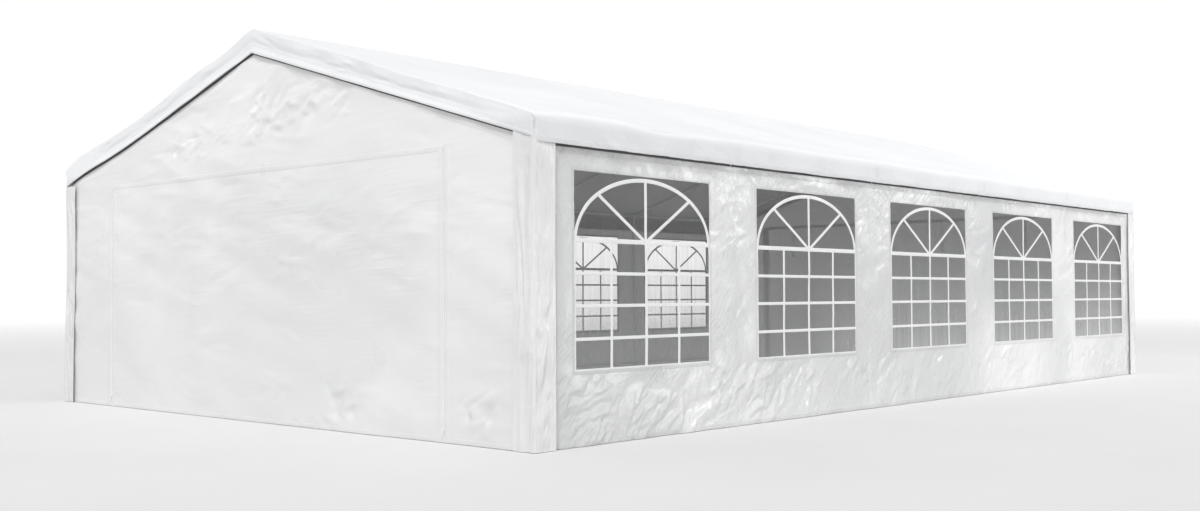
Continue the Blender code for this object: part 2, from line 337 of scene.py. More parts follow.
def ribbon(shape, surface, path, width, thickness, step=0.02, lift=0.0):
    """A flat strip with soft edges that follows a line of (s, t) points on a surface."""
    path = np.asarray(path, float)
    legs = np.linalg.norm(np.diff(path, axis=0), axis=1)
    reach = np.concatenate([[0], np.cumsum(legs)])
    at = spaced((0, reach[-1], step))
    line = np.stack([np.interp(at, reach, path[:, 0]), np.interp(at, reach, path[:, 1])], -1)
    along = np.gradient(line, axis=0)
    along /= np.linalg.norm(along, axis=1)[:, None]
    across = np.stack([-along[:, 1], along[:, 0]], -1)
    edge = min(0.003, width / 5)
    rim = [(width / 2, 0.0001), (width / 2 - edge / 3, thickness * 0.8), (width / 2 - edge, thickness)]
    rows, flat = [], []
    for off, height in [(-off, height) for off, height in rim] + rim[::-1]:
        flat.append(line + across * off)
        rows.append(surface(*flat[-1].T, lift + height))
    # The strip faces the way its surface does
    out = surface(*line[0], lift + 0.01) - surface(*line[0], lift)
    facing = np.cross(rows[3][0] - rows[2][0], rows[2][1] - rows[2][0])
    shape.grid(np.stack(rows), np.stack(flat), flip=facing @ out < 0)


# Materials


def put(socket, value):
    """Give a node's input a plain value, or link it to another node's output."""
    if isinstance(value, bpy.types.NodeSocket):
        socket.id_data.links.new(value, socket)
    else:
        socket.default_value = value


def feed(made, **inputs):
    """Fill a node's inputs, given by name with _ for a space."""
    for key, value in inputs.items():
        put(made.inputs[key.replace("_", " ")], value)


def node(tree, kind, settings=None, **inputs):
    made = tree.nodes.new(kind)
    for key, value in (settings or {}).items():
        setattr(made, key, value)
    feed(made, **inputs)
    return made


def principled(name):
    """A new material, its nodes, its shader and the object's own coordinates."""
    material = bpy.data.materials.new(name)
    material.use_nodes = True
    tree = material.node_tree
    return material, tree, tree.nodes["Principled BSDF"], node(tree, "ShaderNodeTexCoord").outputs["Object"]


def scaled(tree, value, low, high, low_to, high_to):
    """A value mapped from one range to another, and held at its ends."""
    ends = {"From_Min": low, "From_Max": high, "To_Min": low_to, "To_Max": high_to}
    return node(tree, "ShaderNodeMapRange", Value=value, **ends).outputs["Result"]


def varied(tree, noise, low, high):
    """A noise's usual range, mapped to the values from low to high."""
    return scaled(tree, noise, 0.3, 0.7, low, high)


def math_node(tree, operation, *values):
    made = node(tree, "ShaderNodeMath", {"operation": operation})
    for socket, value in zip(made.inputs, values):
        put(socket, value)
    return made.outputs[0]


def mixed_colour(tree, factor, first, second):
    """The first colour where the factor is 0 and the second where it is 1. Each may be another node's."""
    made = node(tree, "ShaderNodeMix", {"data_type": "RGBA"})
    for i, value in ((0, factor), (6, first), (7, second)):
        put(made.inputs[i], value if isinstance(value, bpy.types.NodeSocket) else (*value, 1))
    return made.outputs[2]


def mixed_shader(tree, factor, first, second, end):
    """Two shaders, mixed into the material's or the world's output."""
    mix = node(tree, "ShaderNodeMixShader")
    for socket, value in zip(mix.inputs, (factor, first.outputs[0], second.outputs[0])):
        put(socket, value)
    put(tree.nodes[end].inputs[0], mix.outputs[0])


def noise_at(tree, vector, scale, detail=2.0, distortion=0.0):
    return node(
        tree, "ShaderNodeTexNoise", Vector=vector, Scale=scale, Detail=detail, Distortion=distortion
    ).outputs[0]


def bumped(tree, height, strength, distance, **below):
    """A bump's normal. Normal=... is the one that it adds to."""
    made = node(tree, "ShaderNodeBump", Height=height, Strength=strength, Distance=distance, **below)
    return made.outputs[0]


def parts_of(tree, vector):
    return node(tree, "ShaderNodeSeparateXYZ", Vector=vector).outputs


# The inner side's colour: painted shade for the dim inside of the tent.
INSIDE_PAINTED_SHADE = (0.53, 0.53, 0.535)
WEAVE_PITCH = 0.0055
# How much greyer the sheet is painted where it hangs: painted shade.
HUNG_PAINTED_SHADE = 0.91


def tarpaulin(
    name, light, dark, roughness, crinkle, lets_through, streaks, gloss=0.5,
    painted_shade_end=0.0, painted_shade_foot=0.0, painted_shade_below=None,
):
    """White coated sheet: woven tapes under a glossy skin, with patches of fine crinkles.

    Some light shines through it. Its inner side is greyer, as painted shade for the dim inside of the tent.
    streaks are the angle, length, width and height of fine creases. painted_shade_end adds painted shade
    towards the front end, and painted_shade_foot adds painted shade towards the ground that turns to painted
    light towards the peak. painted_shade_below is a height under which the sheet hangs, and is painted a
    little greyer there, as painted shade.
    """
    material, tree, shader, body = principled(name)
    cloth = node(tree, "ShaderNodeAttribute", {"attribute_name": "cloth"}).outputs["Vector"]
    tapes = [math_node(tree, "MULTIPLY", way, 2 * math.pi / WEAVE_PITCH) for way in parts_of(tree, cloth)[:2]]
    weave = math_node(tree, "MULTIPLY", *[math_node(tree, "SINE", tape) for tape in tapes])
    blotches = noise_at(tree, body, 1.3)
    shade = scaled(tree, noise_at(tree, body, 0.55, 5.0, 0.6), 0.36, 0.64, 0.0, 1.0)
    where = parts_of(tree, body)
    # Painted shade: the sheet is darker towards the front end of the tent.
    if painted_shade_end:
        painted_shade = scaled(tree, where["Y"], FRAME_Y[0], FRAME_Y[1], painted_shade_end, 0.0)
        shade = math_node(tree, "ADD", shade, painted_shade)
    # Painted shade towards the ground, turning to painted light towards the peak.
    if painted_shade_foot:
        painted_shade = scaled(tree, where["Z"], 0.0, GABLE_PEAK, painted_shade_foot, -painted_shade_foot)
        shade = math_node(tree, "ADD", shade, painted_shade)
    colour = mixed_colour(tree, shade, light, dark)
    # Painted shade on the sheet where it hangs below the eave.
    if painted_shade_below:
        hung = scaled(tree, where["Z"], painted_shade_below - 0.03, painted_shade_below + 0.03, 1.0, 0.0)
        colour = mixed_colour(tree, hung, colour, [HUNG_PAINTED_SHADE * c for c in dark])
    # The inner side is painted greyer: painted shade for the dim inside of the tent.
    back = node(tree, "ShaderNodeNewGeometry").outputs["Backfacing"]
    patchy = scaled(tree, blotches, 0.42, 0.66, 0.12, 1.0)
    ridges = math_node(tree, "MULTIPLY", noise_at(tree, body, 7.0, 3.0, 0.4), patchy)
    soft = bumped(tree, ridges, crinkle, 0.009)
    wrinkled = bumped(tree, noise_at(tree, body, 16.0, 2.0, 0.2), crinkle * 0.8, 0.005, Normal=soft)
    angle, length, width, height = streaks
    turned = node(
        tree, "ShaderNodeMapping", {"vector_type": "TEXTURE"}, Vector=cloth,
        Rotation=(0, 0, angle), Scale=(length, width, 1),
    )
    creases = noise_at(tree, turned.outputs[0], 1.0, 2.0, 0.25)
    some = scaled(tree, noise_at(tree, body, 2.2), 0.42, 0.6, 0.0, 1.0)
    creased = bumped(tree, math_node(tree, "MULTIPLY", creases, some), 1.0, height, Normal=wrinkled)
    feed(
        shader, Base_Color=mixed_colour(tree, back, colour, INSIDE_PAINTED_SHADE), Specular_IOR_Level=gloss,
        Roughness=varied(tree, blotches, roughness - 0.06, roughness + 0.08),
        Normal=bumped(tree, weave, 0.12, 0.0004, Normal=creased),
    )
    glow = node(tree, "ShaderNodeBsdfTranslucent", Color=(0.93, 0.93, 0.93, 1))
    mixed_shader(tree, lets_through, shader, glow, "Material Output")
    return material


def film_material():
    """Clear flexible film, slightly grey, with upright streaks, and duller towards the sill and the back."""
    material, tree, shader, body = principled("window_film")
    stretched = node(tree, "ShaderNodeMapping", Vector=body, Scale=(1, 1, 0.05)).outputs[0]
    where = parts_of(tree, body)
    low = scaled(tree, where["Z"], WINDOW_SILL, WINDOW_HEAD, 1.0, 0.0)
    streaks = varied(tree, noise_at(tree, stretched, 26.0, 3.0), 0.0, 0.06)
    cover = math_node(tree, "ADD", scaled(tree, low, 0.2, 1.0, 0.05, 0.2), streaks)
    duller = scaled(tree, where["Y"], 0.4 * FRAME_Y[0], 0.2 * FRAME_Y[1], 1.0, 1.9)
    feed(
        shader, Base_Color=mixed_colour(tree, low, (0.32, 0.325, 0.33), (0.78, 0.785, 0.79)),
        Alpha=math_node(tree, "MULTIPLY", cover, duller),
        Roughness=varied(tree, noise_at(tree, body, 6.0), 0.06, 0.16),
        Normal=bumped(tree, noise_at(tree, stretched, 9.0), 0.35, 0.004),
    )
    return material


def bar_material():
    """The white strips welded to the film."""
    material, tree, shader, body = principled("window_bar")
    shade = noise_at(tree, body, 11.0, 3.0)
    feed(
        shader, Base_Color=mixed_colour(tree, shade, (0.9, 0.9, 0.9), (0.83, 0.835, 0.84)),
        Roughness=varied(tree, shade, 0.35, 0.5),
        Normal=bumped(tree, noise_at(tree, body, 160.0), 0.15, 0.0005),
    )
    return material


def webbing_material(name, light, dark):
    """Polyester webbing with ribs across it."""
    material, tree, shader, body = principled(name)
    wave = node(tree, "ShaderNodeTexWave", {"bands_direction": "Z"}, Vector=body, Scale=180.0, Distortion=0.6)
    ribs = wave.outputs[1]
    feed(
        shader, Base_Color=mixed_colour(tree, ribs, light, dark), Normal=bumped(tree, ribs, 0.4, 0.0005),
        Roughness=varied(tree, noise_at(tree, body, 60.0), 0.7, 0.85),
    )
    return material


def steel_material(name, light, dark, metallic, roughness):
    """Powder-coated or galvanised steel, or moulded plastic: a fine orange-peel skin with slight scuffs."""
    material, tree, shader, body = principled(name)
    shade = noise_at(tree, body, 9.0, 5.0, 0.3)
    feed(
        shader, Base_Color=mixed_colour(tree, shade, light, dark), Metallic=metallic,
        Roughness=varied(tree, shade, roughness - 0.07, roughness + 0.1),
        Normal=bumped(tree, noise_at(tree, body, 420.0), 0.2, 0.0003),
    )
    return material


# The roof, walls, gables and corner covers are one white tarpaulin; the differences between their colours are
# painted light and shade, set face by face to how bright each face looks.
ROOF_SHEET = tarpaulin(
    "roof_sheet", (0.935, 0.94, 0.95), (0.895, 0.9, 0.918), 0.58, 0.35, 0.06, (0.9, 0.09, 0.02, 0.004),
    painted_shade_below=EAVE_TUBE.z - 0.01, gloss=0.22,
)
WALL_SHEET = tarpaulin(
    "wall_sheet", (0.955, 0.955, 0.96), (0.735, 0.738, 0.745), 0.25, 0.9, 0.15, (0.87, 0.1, 0.016, 0.009),
    painted_shade_end=0.9,
)
GABLE_SHEET = tarpaulin(
    "gable_sheet", (0.98, 0.98, 0.982), (0.885, 0.885, 0.888), 0.32, 0.3, 0.15, (0.05, 0.5, 0.035, 0.003),
    painted_shade_foot=0.6,
)
CORNER_SHEET = tarpaulin(
    "corner_sheet", (0.91, 0.91, 0.912), (0.78, 0.78, 0.783), 0.26, 0.6, 0.08, (1.5, 0.12, 0.014, 0.009)
)
FILM = film_material()
BAR = bar_material()
COATED_STEEL = steel_material("coated_steel", (0.88, 0.885, 0.89), (0.82, 0.825, 0.83), 0.0, 0.33)
WEBBING = webbing_material("webbing", (0.84, 0.84, 0.83), (0.7, 0.7, 0.69))
# A dark grey strip behind each slit under the valances: painted shadow for the gap, with the ribbed webbing
# look.
PAINTED_SHADOW_STRIP = webbing_material("elastic", (0.17, 0.17, 0.175), (0.1, 0.1, 0.102))
ZIP_PLASTIC = steel_material("zip_plastic", (0.9, 0.9, 0.9), (0.86, 0.86, 0.865), 0.0, 0.28)
ZINC_STEEL = steel_material("zinc_steel", (0.6, 0.61, 0.62), (0.5, 0.51, 0.52), 0.9, 0.38)


# Roof cover

EAVE_RADIUS = 0.045
EAVE_CENTRE_X = HALF_WIDTH - EAVE_RADIUS
EAVE_CENTRE_Z = float(roof_top(EAVE_CENTRE_X)) - EAVE_RADIUS / math.cos(SLOPE_ANGLE)
SLOPE_LENGTH = (EAVE_CENTRE_X + EAVE_RADIUS * math.sin(SLOPE_ANGLE)) / math.cos(SLOPE_ANGLE)
ARC_LENGTH = EAVE_RADIUS * (math.pi / 2 - SLOPE_ANGLE)
EAVE_AT = SLOPE_LENGTH + ARC_LENGTH
ROOF_REACH = EAVE_AT + EAVE_CENTRE_Z - VALANCE_FOOT + SLIT_COVER
RIDGE_SOFTNESS = 0.02
SAG = 0.016
FASCIA_DEPTH = 0.19
CORNER_FOLD = 0.04

roof_relief = Relief(11)
roof_relief.add_waves(26, 1.1, 0.0035)
roof_relief.add_waves(30, 0.32, 0.0012)
roof_relief.add_crumple(0.16, 0.003, 0.15, 2.5, 0.5)
roof_relief.scatter(60, (-3.0, 3.0), (-5.0, 5.0), math.pi / 2, 0.5, (0.2, 0.7), (0.04, 0.08), (0.002, 0.005))

valance_relief = Relief(12)
valance_relief.add_waves(24, 0.7, 0.004, math.pi / 2, 0.35)
valance_relief.add_waves(24, 0.16, 0.0012, math.pi / 2, 0.4)
valance_relief.add_crumple(0.06, 0.009, 0.6, 2.2, 0.6)
valance_relief.add_crumple(0.035, 0.004, 1.2, 2.0, 0.4)

# How far the right eave stands above or below its straight line, by distance along it
EAVE_RISES = [
    (-5.085, 0.006), (-4.7, 0.024), (-4.3, 0.024), (-3.83, -0.014), (-3.3, 0.006), (-2.7, 0.014),
    (-1.7, 0.004), (-0.9, 0.012), (0.2, 0.0), (1.1, 0.01), (2.2, 0.002), (3.1, 0.01), (4.1, 0.004),
    (5.085, 0.01),
]


def eave_rise(side, y):
    """The eave's small rises and dips. The left eave's are those of the right one, seen from the back."""
    at, rise = np.array(EAVE_RISES).T
    y = np.asarray(y, float) * np.sign(side)
    found = np.zeros(np.broadcast(y, at[0]).shape)
    for i in range(len(at) - 1):
        inside = (y >= at[i]) & (y <= at[i + 1])
        found = np.where(inside, rise[i] + (rise[i + 1] - rise[i]) * smooth(at[i], at[i + 1], y), found)
    return found


def front_rise(x, y):
    """The front edge is puffed up near the left eave, and dips beside the ridge."""
    edge = 1 - smooth(0.0, 1.3, y + HALF_LENGTH)
    return edge * (0.07 * bump(x, -2.85, 0.62) - 0.026 * bump(x, -0.42, 0.3))


def section(d):
    """The cover's outer section at a signed distance from the ridge: x, z and the outward normal."""
    side = np.sign(d)
    a = np.abs(d)
    x = a * math.cos(SLOPE_ANGLE)
    z = RIDGE_HEIGHT - a * math.sin(SLOPE_ANGLE) - SLOPE * (np.sqrt(x * x + RIDGE_SOFTNESS**2) - x)
    nx = np.full(d.shape, math.sin(SLOPE_ANGLE))
    nz = np.full(d.shape, math.cos(SLOPE_ANGLE))
    turn = math.pi / 2 - SLOPE_ANGLE - (a - SLOPE_LENGTH) / EAVE_RADIUS
    arc = (a > SLOPE_LENGTH) & (a <= EAVE_AT)
    x = np.where(arc, EAVE_CENTRE_X + EAVE_RADIUS * np.cos(turn), x)
    z = np.where(arc, EAVE_CENTRE_Z + EAVE_RADIUS * np.sin(turn), z)
    nx = np.where(arc, np.cos(turn), nx)
    nz = np.where(arc, np.sin(turn), nz)
    hung = a > EAVE_AT
    x = np.where(hung, HALF_WIDTH, x)
    z = np.where(hung, EAVE_CENTRE_Z - (a - EAVE_AT), z)
    nx = np.where(hung, 1.0, nx)
    nz = np.where(hung, 0.0, nz)
    return x * side, z, nx * side, nz


def roof_surface(d, y, lift=0.0):
    """Points of the cover, by signed distance from the ridge and by distance along it."""
    d, y = np.broadcast_arrays(np.asarray(d, float), np.asarray(y, float))
    x, z, nx, nz = section(d)
    a = np.abs(d)
    up = np.clip(1 - a / SLOPE_LENGTH, 0, 1)
    bay = (y - FRAME_Y[0]) / BAY
    between = np.abs(np.sin(math.pi * bay)) ** 0.8 * ((bay > 0) & (bay < len(FRAME_Y) - 1))
    hold = smooth(0.0, 0.25, a) * (1 - smooth(SLOPE_LENGTH - 0.2, SLOPE_LENGTH, a))
    out = -SAG * between * 4 * up * (1 - up) + roof_relief.at(d, y) * hold
    fall = smooth(EAVE_AT - 0.02, EAVE_AT + 0.03, a)
    corner = smooth(0.0, 0.12, HALF_LENGTH - np.abs(y))
    loose = smooth(EAVE_AT, ROOF_REACH, a)
    out = out + fall * corner * (0.003 + valance_relief.at(d, y) * (0.25 + 0.75 * loose))
    near_eave = smooth(SLOPE_LENGTH - 0.9, SLOPE_LENGTH - 0.05, a)
    near_eave = near_eave * (1 - smooth(EAVE_AT, ROOF_REACH - 0.03, a))
    rise = eave_rise(np.sign(d), y) * near_eave
    rise = rise + front_rise(x, y) * (1 - smooth(EAVE_AT, ROOF_REACH, a))
    rise = rise - 0.005 * smooth(HALF_LENGTH - 0.03, HALF_LENGTH, np.abs(y)) * (1 - fall)
    turn = np.clip((np.abs(y) - HALF_LENGTH) / CORNER_FOLD + 1, 0, 1) * math.pi / 4
    round_y = np.sign(y) * (HALF_LENGTH - CORNER_FOLD + CORNER_FOLD * np.sin(turn))
    x = x - np.sign(d) * fall * CORNER_FOLD * (1 - np.cos(turn))
    y = np.where(turn > 0, y + fall * (round_y - y), y)
    return np.stack([x + nx * (out + lift), y, z + nz * (out + lift) + rise], -1)


def both_ways(*parts):
    """Positions over the right half, which starts at 0, and the same over the left half."""
    right = spaced(*parts)
    return np.concatenate([-right[:0:-1], right])


def make_roof():
    shape = Shape()
    near_eave = SLOPE_LENGTH - 0.12
    d = both_ways(
        (0.0, 0.06, 0.012), (0.06, near_eave, 0.041), (near_eave, SLOPE_LENGTH, 0.02),
        (SLOPE_LENGTH, EAVE_AT, 0.0075),
        (EAVE_AT, ROOF_REACH, 0.016),
    )
    inner = HALF_LENGTH - CORNER_FOLD
    y = spaced((-HALF_LENGTH, -inner, 0.006), (-inner, inner, 0.036), (inner, HALF_LENGTH, 0.006))
    shape.cover(roof_surface, d, y)
    roof = shape.piece("roof_sheet", ROOF_SHEET, "roof_cover", ["roof_cover"])
    hems = Shape()
    for side in (-1, 1):
        line = side * (ROOF_REACH - 0.018)
        ribbon(hems, roof_surface, [(line, -HALF_LENGTH + 0.004), (line, HALF_LENGTH - 0.004)], 0.034, 0.0012)
    hem = hems.piece("eave_hems", ROOF_SHEET, "roof_cover")
    seams = Shape()
    for y_seam in FRAME_Y[1:-1]:
        line = [(-ROOF_REACH + 0.04, y_seam + 0.06), (ROOF_REACH - 0.04, y_seam + 0.06)]
        ribbon(seams, roof_surface, line, 0.028, 0.0006)
    seam = seams.piece("roof_seams", ROOF_SHEET, "roof_cover")


# Gable valances


def fascia_surface(end, relief):
    """Points of the gable valance, by the cover's section distance and by share of its depth from the top."""

    def surface(d, share, lift=0.0):
        d, share = np.broadcast_arrays(np.asarray(d, float), np.asarray(share, float))
        edge = roof_surface(d, end * HALF_LENGTH)
        x, y, top = edge[..., 0], edge[..., 1], edge[..., 2]
        z = top + (fascia_edge(x, end) - top) * share
        turn = np.clip((np.abs(x) - HALF_WIDTH) / CORNER_FOLD + 1, 0, 1) * math.pi / 4
        below = smooth(0, 0.2, share)
        round_x = np.sign(x) * (HALF_WIDTH - CORNER_FOLD + CORNER_FOLD * np.sin(turn))
        x = np.where(turn > 0, x + below * (round_x - x), x)
        y = y + below * (end * (HALF_LENGTH - CORNER_FOLD * (1 - np.cos(turn))) - y)
        inner = 1 - smooth(2.2, 2.8, np.abs(x))
        fold = -0.011 * inner * bump(share, 0.6, 0.2) + 0.004 * inner * bump(share, 0.64, 0.035)
        wavy = relief.at(x, share * FASCIA_DEPTH) * (0.3 + 0.7 * inner) * smooth(0, 0.3, share)
        return np.stack([x, y + end * (fold + wavy + lift), z], -1)

    return surface


def fascia_edge(x, end):
    """The gable valance's lower edge as it hangs. At the front it follows the puffed-up left eave."""
    foot = fascia_foot(x)
    return foot + 0.75 * front_rise(x, -HALF_LENGTH) * (x < -1.2) if end < 0 else foot


def make_fascias():
    for name, end in ENDS:
        relief = Relief(21 + end)
        relief.add_waves(24, 0.5, 0.0022, 0.0, 0.5)
        relief.add_crumple(0.03, 0.0016, 0.0, 4.0, 0.6)
        relief.scatter(70, (-2.9, 2.9), (0.0, 0.12), 0.0, 0.2, (0.15, 0.6), (0.01, 0.02), (0.0015, 0.0035))
        surface = fascia_surface(end, relief)
        shape = Shape()
        d = both_ways((0.0, SLOPE_LENGTH, 0.016), (SLOPE_LENGTH, EAVE_AT, 0.006))
        dd, ss = np.meshgrid(d, spaced((0.0, 0.1, 0.02), (0.1, 1.0, 0.055)), indexing="ij")
        shape.grid(surface(dd, ss), np.stack([dd, ss * FASCIA_DEPTH], -1), flip=end < 0)
        fascia = shape.piece(f"gable_fascia_{name}", ROOF_SHEET, "roof_cover", [f"gable_valance_{name}"])
        hems = Shape()
        rim = ((0.83, 0.0001), (0.84, 0.0012), (0.99, 0.0012), (1.0, 0.0001))
        rows = [surface(d, at, up) for at, up in rim]
        hems.grid(np.stack(rows), flip=end > 0)
        hem = hems.piece(f"fascia_hem_{name}", ROOF_SHEET, "roof_cover")


# Long walls and their windows

# How far a wall may lie in from its flat form where it is held, how much more where it is loose, and how far
# it may stand out
HELD_IN = 0.0025
LOOSE_IN = 0.02
STANDS_OUT = 0.014
# How far a long wall is drawn in beside its corner covers
FRONT_RECESS = 0.016
BACK_RECESS = 0.004


def window_reach(y, z):
    """How far inside the nearest window frame a point lies: above 0 outside every window."""
    away = np.full(np.broadcast(y, z).shape, 9.0)
    for centre in WINDOW_Y:
        dy = np.abs(y - centre) - WINDOW_HALF
        dz = np.maximum(WINDOW_SILL - z, z - WINDOW_HEAD)
        away = np.minimum(away, np.maximum(dy, dz))
    return away


def below_windows(y, z):
    return 1 - smooth(WINDOW_SILL - 0.1, WINDOW_SILL + 0.04, z)


def below_near(y, z):
    """Below the windows, and mostly at the front end."""
    return below_windows(y, z) * (1 - 0.72 * smooth(-3.6, -1.4, y))


def clear_of_legs(y):
    """0 beside a leg, where the wall can't lie further in, and 1 away from them all."""
    near = np.min([np.abs(y - leg) for leg in FRAME_Y], axis=0)
    return smooth(0.03, 0.16, near)


def long_relief(seed):
    relief = Relief(seed)
    relief.add_waves(26, 1.3, 0.004)
    relief.add_waves(28, 0.45, 0.002, math.pi / 2, 0.9)
    relief.add_crumple(0.055, 0.015, 0.9, 2.4, 0.65, below_near)
    relief.add_crumple(0.034, 0.01, 0.8, 3.0, 0.55, below_near)
    relief.add_crumple(0.12, 0.005, 0.6, 2.2, 0.6)
    relief.add_crumple(0.045, 0.005, 0.5, 2.5, 0.22)
    for centre in WINDOW_Y:
        for jamb, angle in ((-1, -2.2), (1, -0.95)):
            at = centre + jamb * WINDOW_HALF
            relief.add_fan(at, WINDOW_SILL, angle, 0.55, 5, 0.03, 0.34, 0.028, 0.006)
            relief.add_fan(at, WINDOW_HEAD, -angle, 0.5, 3, 0.01, 0.13, 0.018, 0.004)
    relief.scatter(70, (-5.0, 5.0), (0.05, 0.42), 0.95, 0.5, (0.12, 0.4), (0.02, 0.035), (0.003, 0.006))
    relief.scatter(50, (-5.0, 5.0), (0.4, 1.85), 1.3, 0.6, (0.1, 0.4), (0.02, 0.035), (0.002, 0.005))
    return relief


def long_surface(side, relief):
    """Points of a long wall's outer face, by distance along it and by height."""

    def surface(y, z, lift=0.0):
        y, z = np.broadcast_arrays(np.asarray(y, float), np.asarray(z, float))
        reach = window_reach(y, z)
        calm = smooth(0.0, 0.08, np.abs(reach))
        height = relief.at(y, z) * np.where(reach < 0, 0.15 + 0.2 * calm, 0.3 + 0.7 * calm)
        height = height - np.where(y < 0, FRONT_RECESS, BACK_RECESS) * bump(np.abs(y), CORNER_LOW.y, 0.06)
        loose = clear_of_legs(y) * smooth(0.02, 0.14, LONG_TOP - z)
        height = np.clip(height, -HELD_IN - LOOSE_IN * loose, STANDS_OUT)
        return np.stack([side * (LONG_FACE + height + lift), y, z], -1)

    return surface


def make_long_walls():
    for name, side in SIDES:
        surface = long_surface(side, long_relief(31 + side))
        jambs = [centre + across for centre in WINDOW_Y for across in (-WINDOW_HALF, WINDOW_HALF)]
        y = even(0.015, -LONG_END, *jambs, LONG_END)
        z = spaced(
            (GROUND_GAP, WINDOW_SILL, 0.0125), (WINDOW_SILL, WINDOW_HEAD, 0.0135),
            (WINDOW_HEAD, LONG_TOP, 0.0125),
        )
        shape = Shape()
        shape.cover(surface, y, z, keep=lambda yy, zz: window_reach(yy, zz) > 0, flip=side < 0)
        wall = shape.piece(f"long_wall_{name}", WALL_SHEET, "wall_sheet", [f"wall_{name}"])
        hems = Shape()
        for line, width in ((LONG_TOP - 0.022, 0.038), (0.02, 0.034)):
            ribbon(hems, surface, [(-LONG_END + 0.003, line), (LONG_END - 0.003, line)], width, 0.0014)
        hem = hems.piece(f"long_hems_{name}", WALL_SHEET, "wall_sheet")
        make_window_welds(name, surface)
        for i, centre in enumerate(WINDOW_Y):
            make_window(f"{name}_{i + 1}", centre, surface)


WELD_WIDTH = 0.022


def make_window_welds(name, surface):
    """The border where each window's film is welded to the wall."""
    welds = Shape()
    out = WELD_WIDTH / 2 + 0.001
    for centre in WINDOW_Y:
        left, right = centre - WINDOW_HALF - out, centre + WINDOW_HALF + out
        low, high = WINDOW_SILL - out, WINDOW_HEAD + out
        for x in (left, right):
            ribbon(welds, surface, [(x, low - WELD_WIDTH / 2), (x, high + WELD_WIDTH / 2)], WELD_WIDTH, 0.0013)
        for z in (low, high):
            ribbon(welds, surface, [(left, z), (right, z)], WELD_WIDTH, 0.0011)
    welds.piece(f"window_welds_{name}", WALL_SHEET, "wall_sheet")


ROW_BARS = (0.513, 0.676, 0.842)
SPRING_AT = 0.346
ARCH_TOP_AT = 0.02
SPOKE_ANGLE = math.radians(46.5)
BAR_WIDTH = 0.027
FILM_WELD = 0.006  # how far a film reaches behind the wall


def window_lines(centre):
    """The lines of a window's bars, each with its width."""
    height = WINDOW_HEAD - WINDOW_SILL
    spring = WINDOW_HEAD - SPRING_AT * height
    arch = (SPRING_AT - ARCH_TOP_AT) * height
    half = WINDOW_HALF - 0.008
    turns = np.linspace(0, math.pi, 61)
    lines = [([(centre + half * math.cos(a), spring + arch * math.sin(a)) for a in turns], BAR_WIDTH)]
    lines.append(([(centre - half, spring), (centre + half, spring)], BAR_WIDTH + 0.004))
    for a in (SPOKE_ANGLE, math.pi - SPOKE_ANGLE):
        rim = centre + half * math.cos(a), spring + arch * math.sin(a)
        lines.append(([(centre, spring), rim], BAR_WIDTH - 0.003))
    lines.append(([(centre, WINDOW_SILL + 0.004), (centre, spring + arch)], BAR_WIDTH))
    for across in (-0.5, 0.5):
        y = centre + across * WINDOW_HALF
        lines.append(([(y, WINDOW_SILL + 0.004), (y, spring)], BAR_WIDTH - 0.002))
    for down in ROW_BARS:
        z = WINDOW_HEAD - down * height
        lines.append(([(centre - half, z), (centre + half, z)], BAR_WIDTH - 0.005))
    for across in (-1, 1):
        y = centre + across * (WINDOW_HALF - 0.005)
        lines.append(([(y, WINDOW_SILL), (y, spring + 0.03)], 0.013))
    z = WINDOW_SILL + 0.005
    lines.append(([(centre - WINDOW_HALF, z), (centre + WINDOW_HALF, z)], 0.013))
    return lines


def make_window(name, centre, surface):
    shape = Shape()
    y = even(0.035, centre - WINDOW_HALF - FILM_WELD, centre + WINDOW_HALF + FILM_WELD)
    z = even(0.035, WINDOW_SILL - FILM_WELD, WINDOW_HEAD + FILM_WELD)
    shape.cover(surface, y, z, -0.0015, flip=surface(0.0, 0.5)[0] < 0)
    film = shape.piece(f"film_{name}", FILM, "window_film", [f"window_{name}"])
    bars = Shape()
    for i, (line, width) in enumerate(window_lines(centre)):
        ribbon(bars, surface, line, width, 0.001, 0.03, lift=-0.0008 + 0.00012 * i)
    bar = bars.piece(f"bars_{name}", BAR, "wall_sheet")


# Gable walls and their zipped door panels


# Where a gable is crumpled: each patch's x, z, half width, half height and strength
GABLE_CRUMPLES = (
    (0.55, 2.38, 0.62, 0.16, 1.1), (-0.85, 2.2, 0.3, 0.1, 1.0), (0.85, 0.2, 0.5, 0.13, 1.9),
    (2.6, 0.22, 0.16, 0.12, 1.9),
)


def gable_patches(x, z):
    total = 0.0
    for at_x, at_z, wide, high, strength in GABLE_CRUMPLES:
        near = np.exp(-(((x - at_x) / wide) ** 2) - ((z - at_z) / high) ** 2)
        total = total + strength * np.clip(1.5 * near, 0, 1)
    return total


def gable_relief(seed):
    relief = Relief(seed)
    relief.add_waves(26, 1.2, 0.004)
    relief.add_waves(30, 0.34, 0.0018, math.pi / 2, 0.5)
    relief.add_crumple(0.1, 0.004, 0.05, 3.5, 0.6)
    relief.add_crumple(0.06, 0.011, 0.6, 2.2, 0.8, gable_patches)
    relief.add_crumple(0.045, 0.008, 0.1, 2.0, 0.7, gable_patches)
    relief.scatter(90, (-2.9, 2.9), (0.1, 2.5), 0.0, 0.35, (0.2, 0.9), (0.02, 0.035), (0.0015, 0.004))
    relief.scatter(14, (0.0, 1.2), (2.2, 2.55), 0.5, 0.7, (0.1, 0.3), (0.02, 0.03), (0.005, 0.009))
    return relief


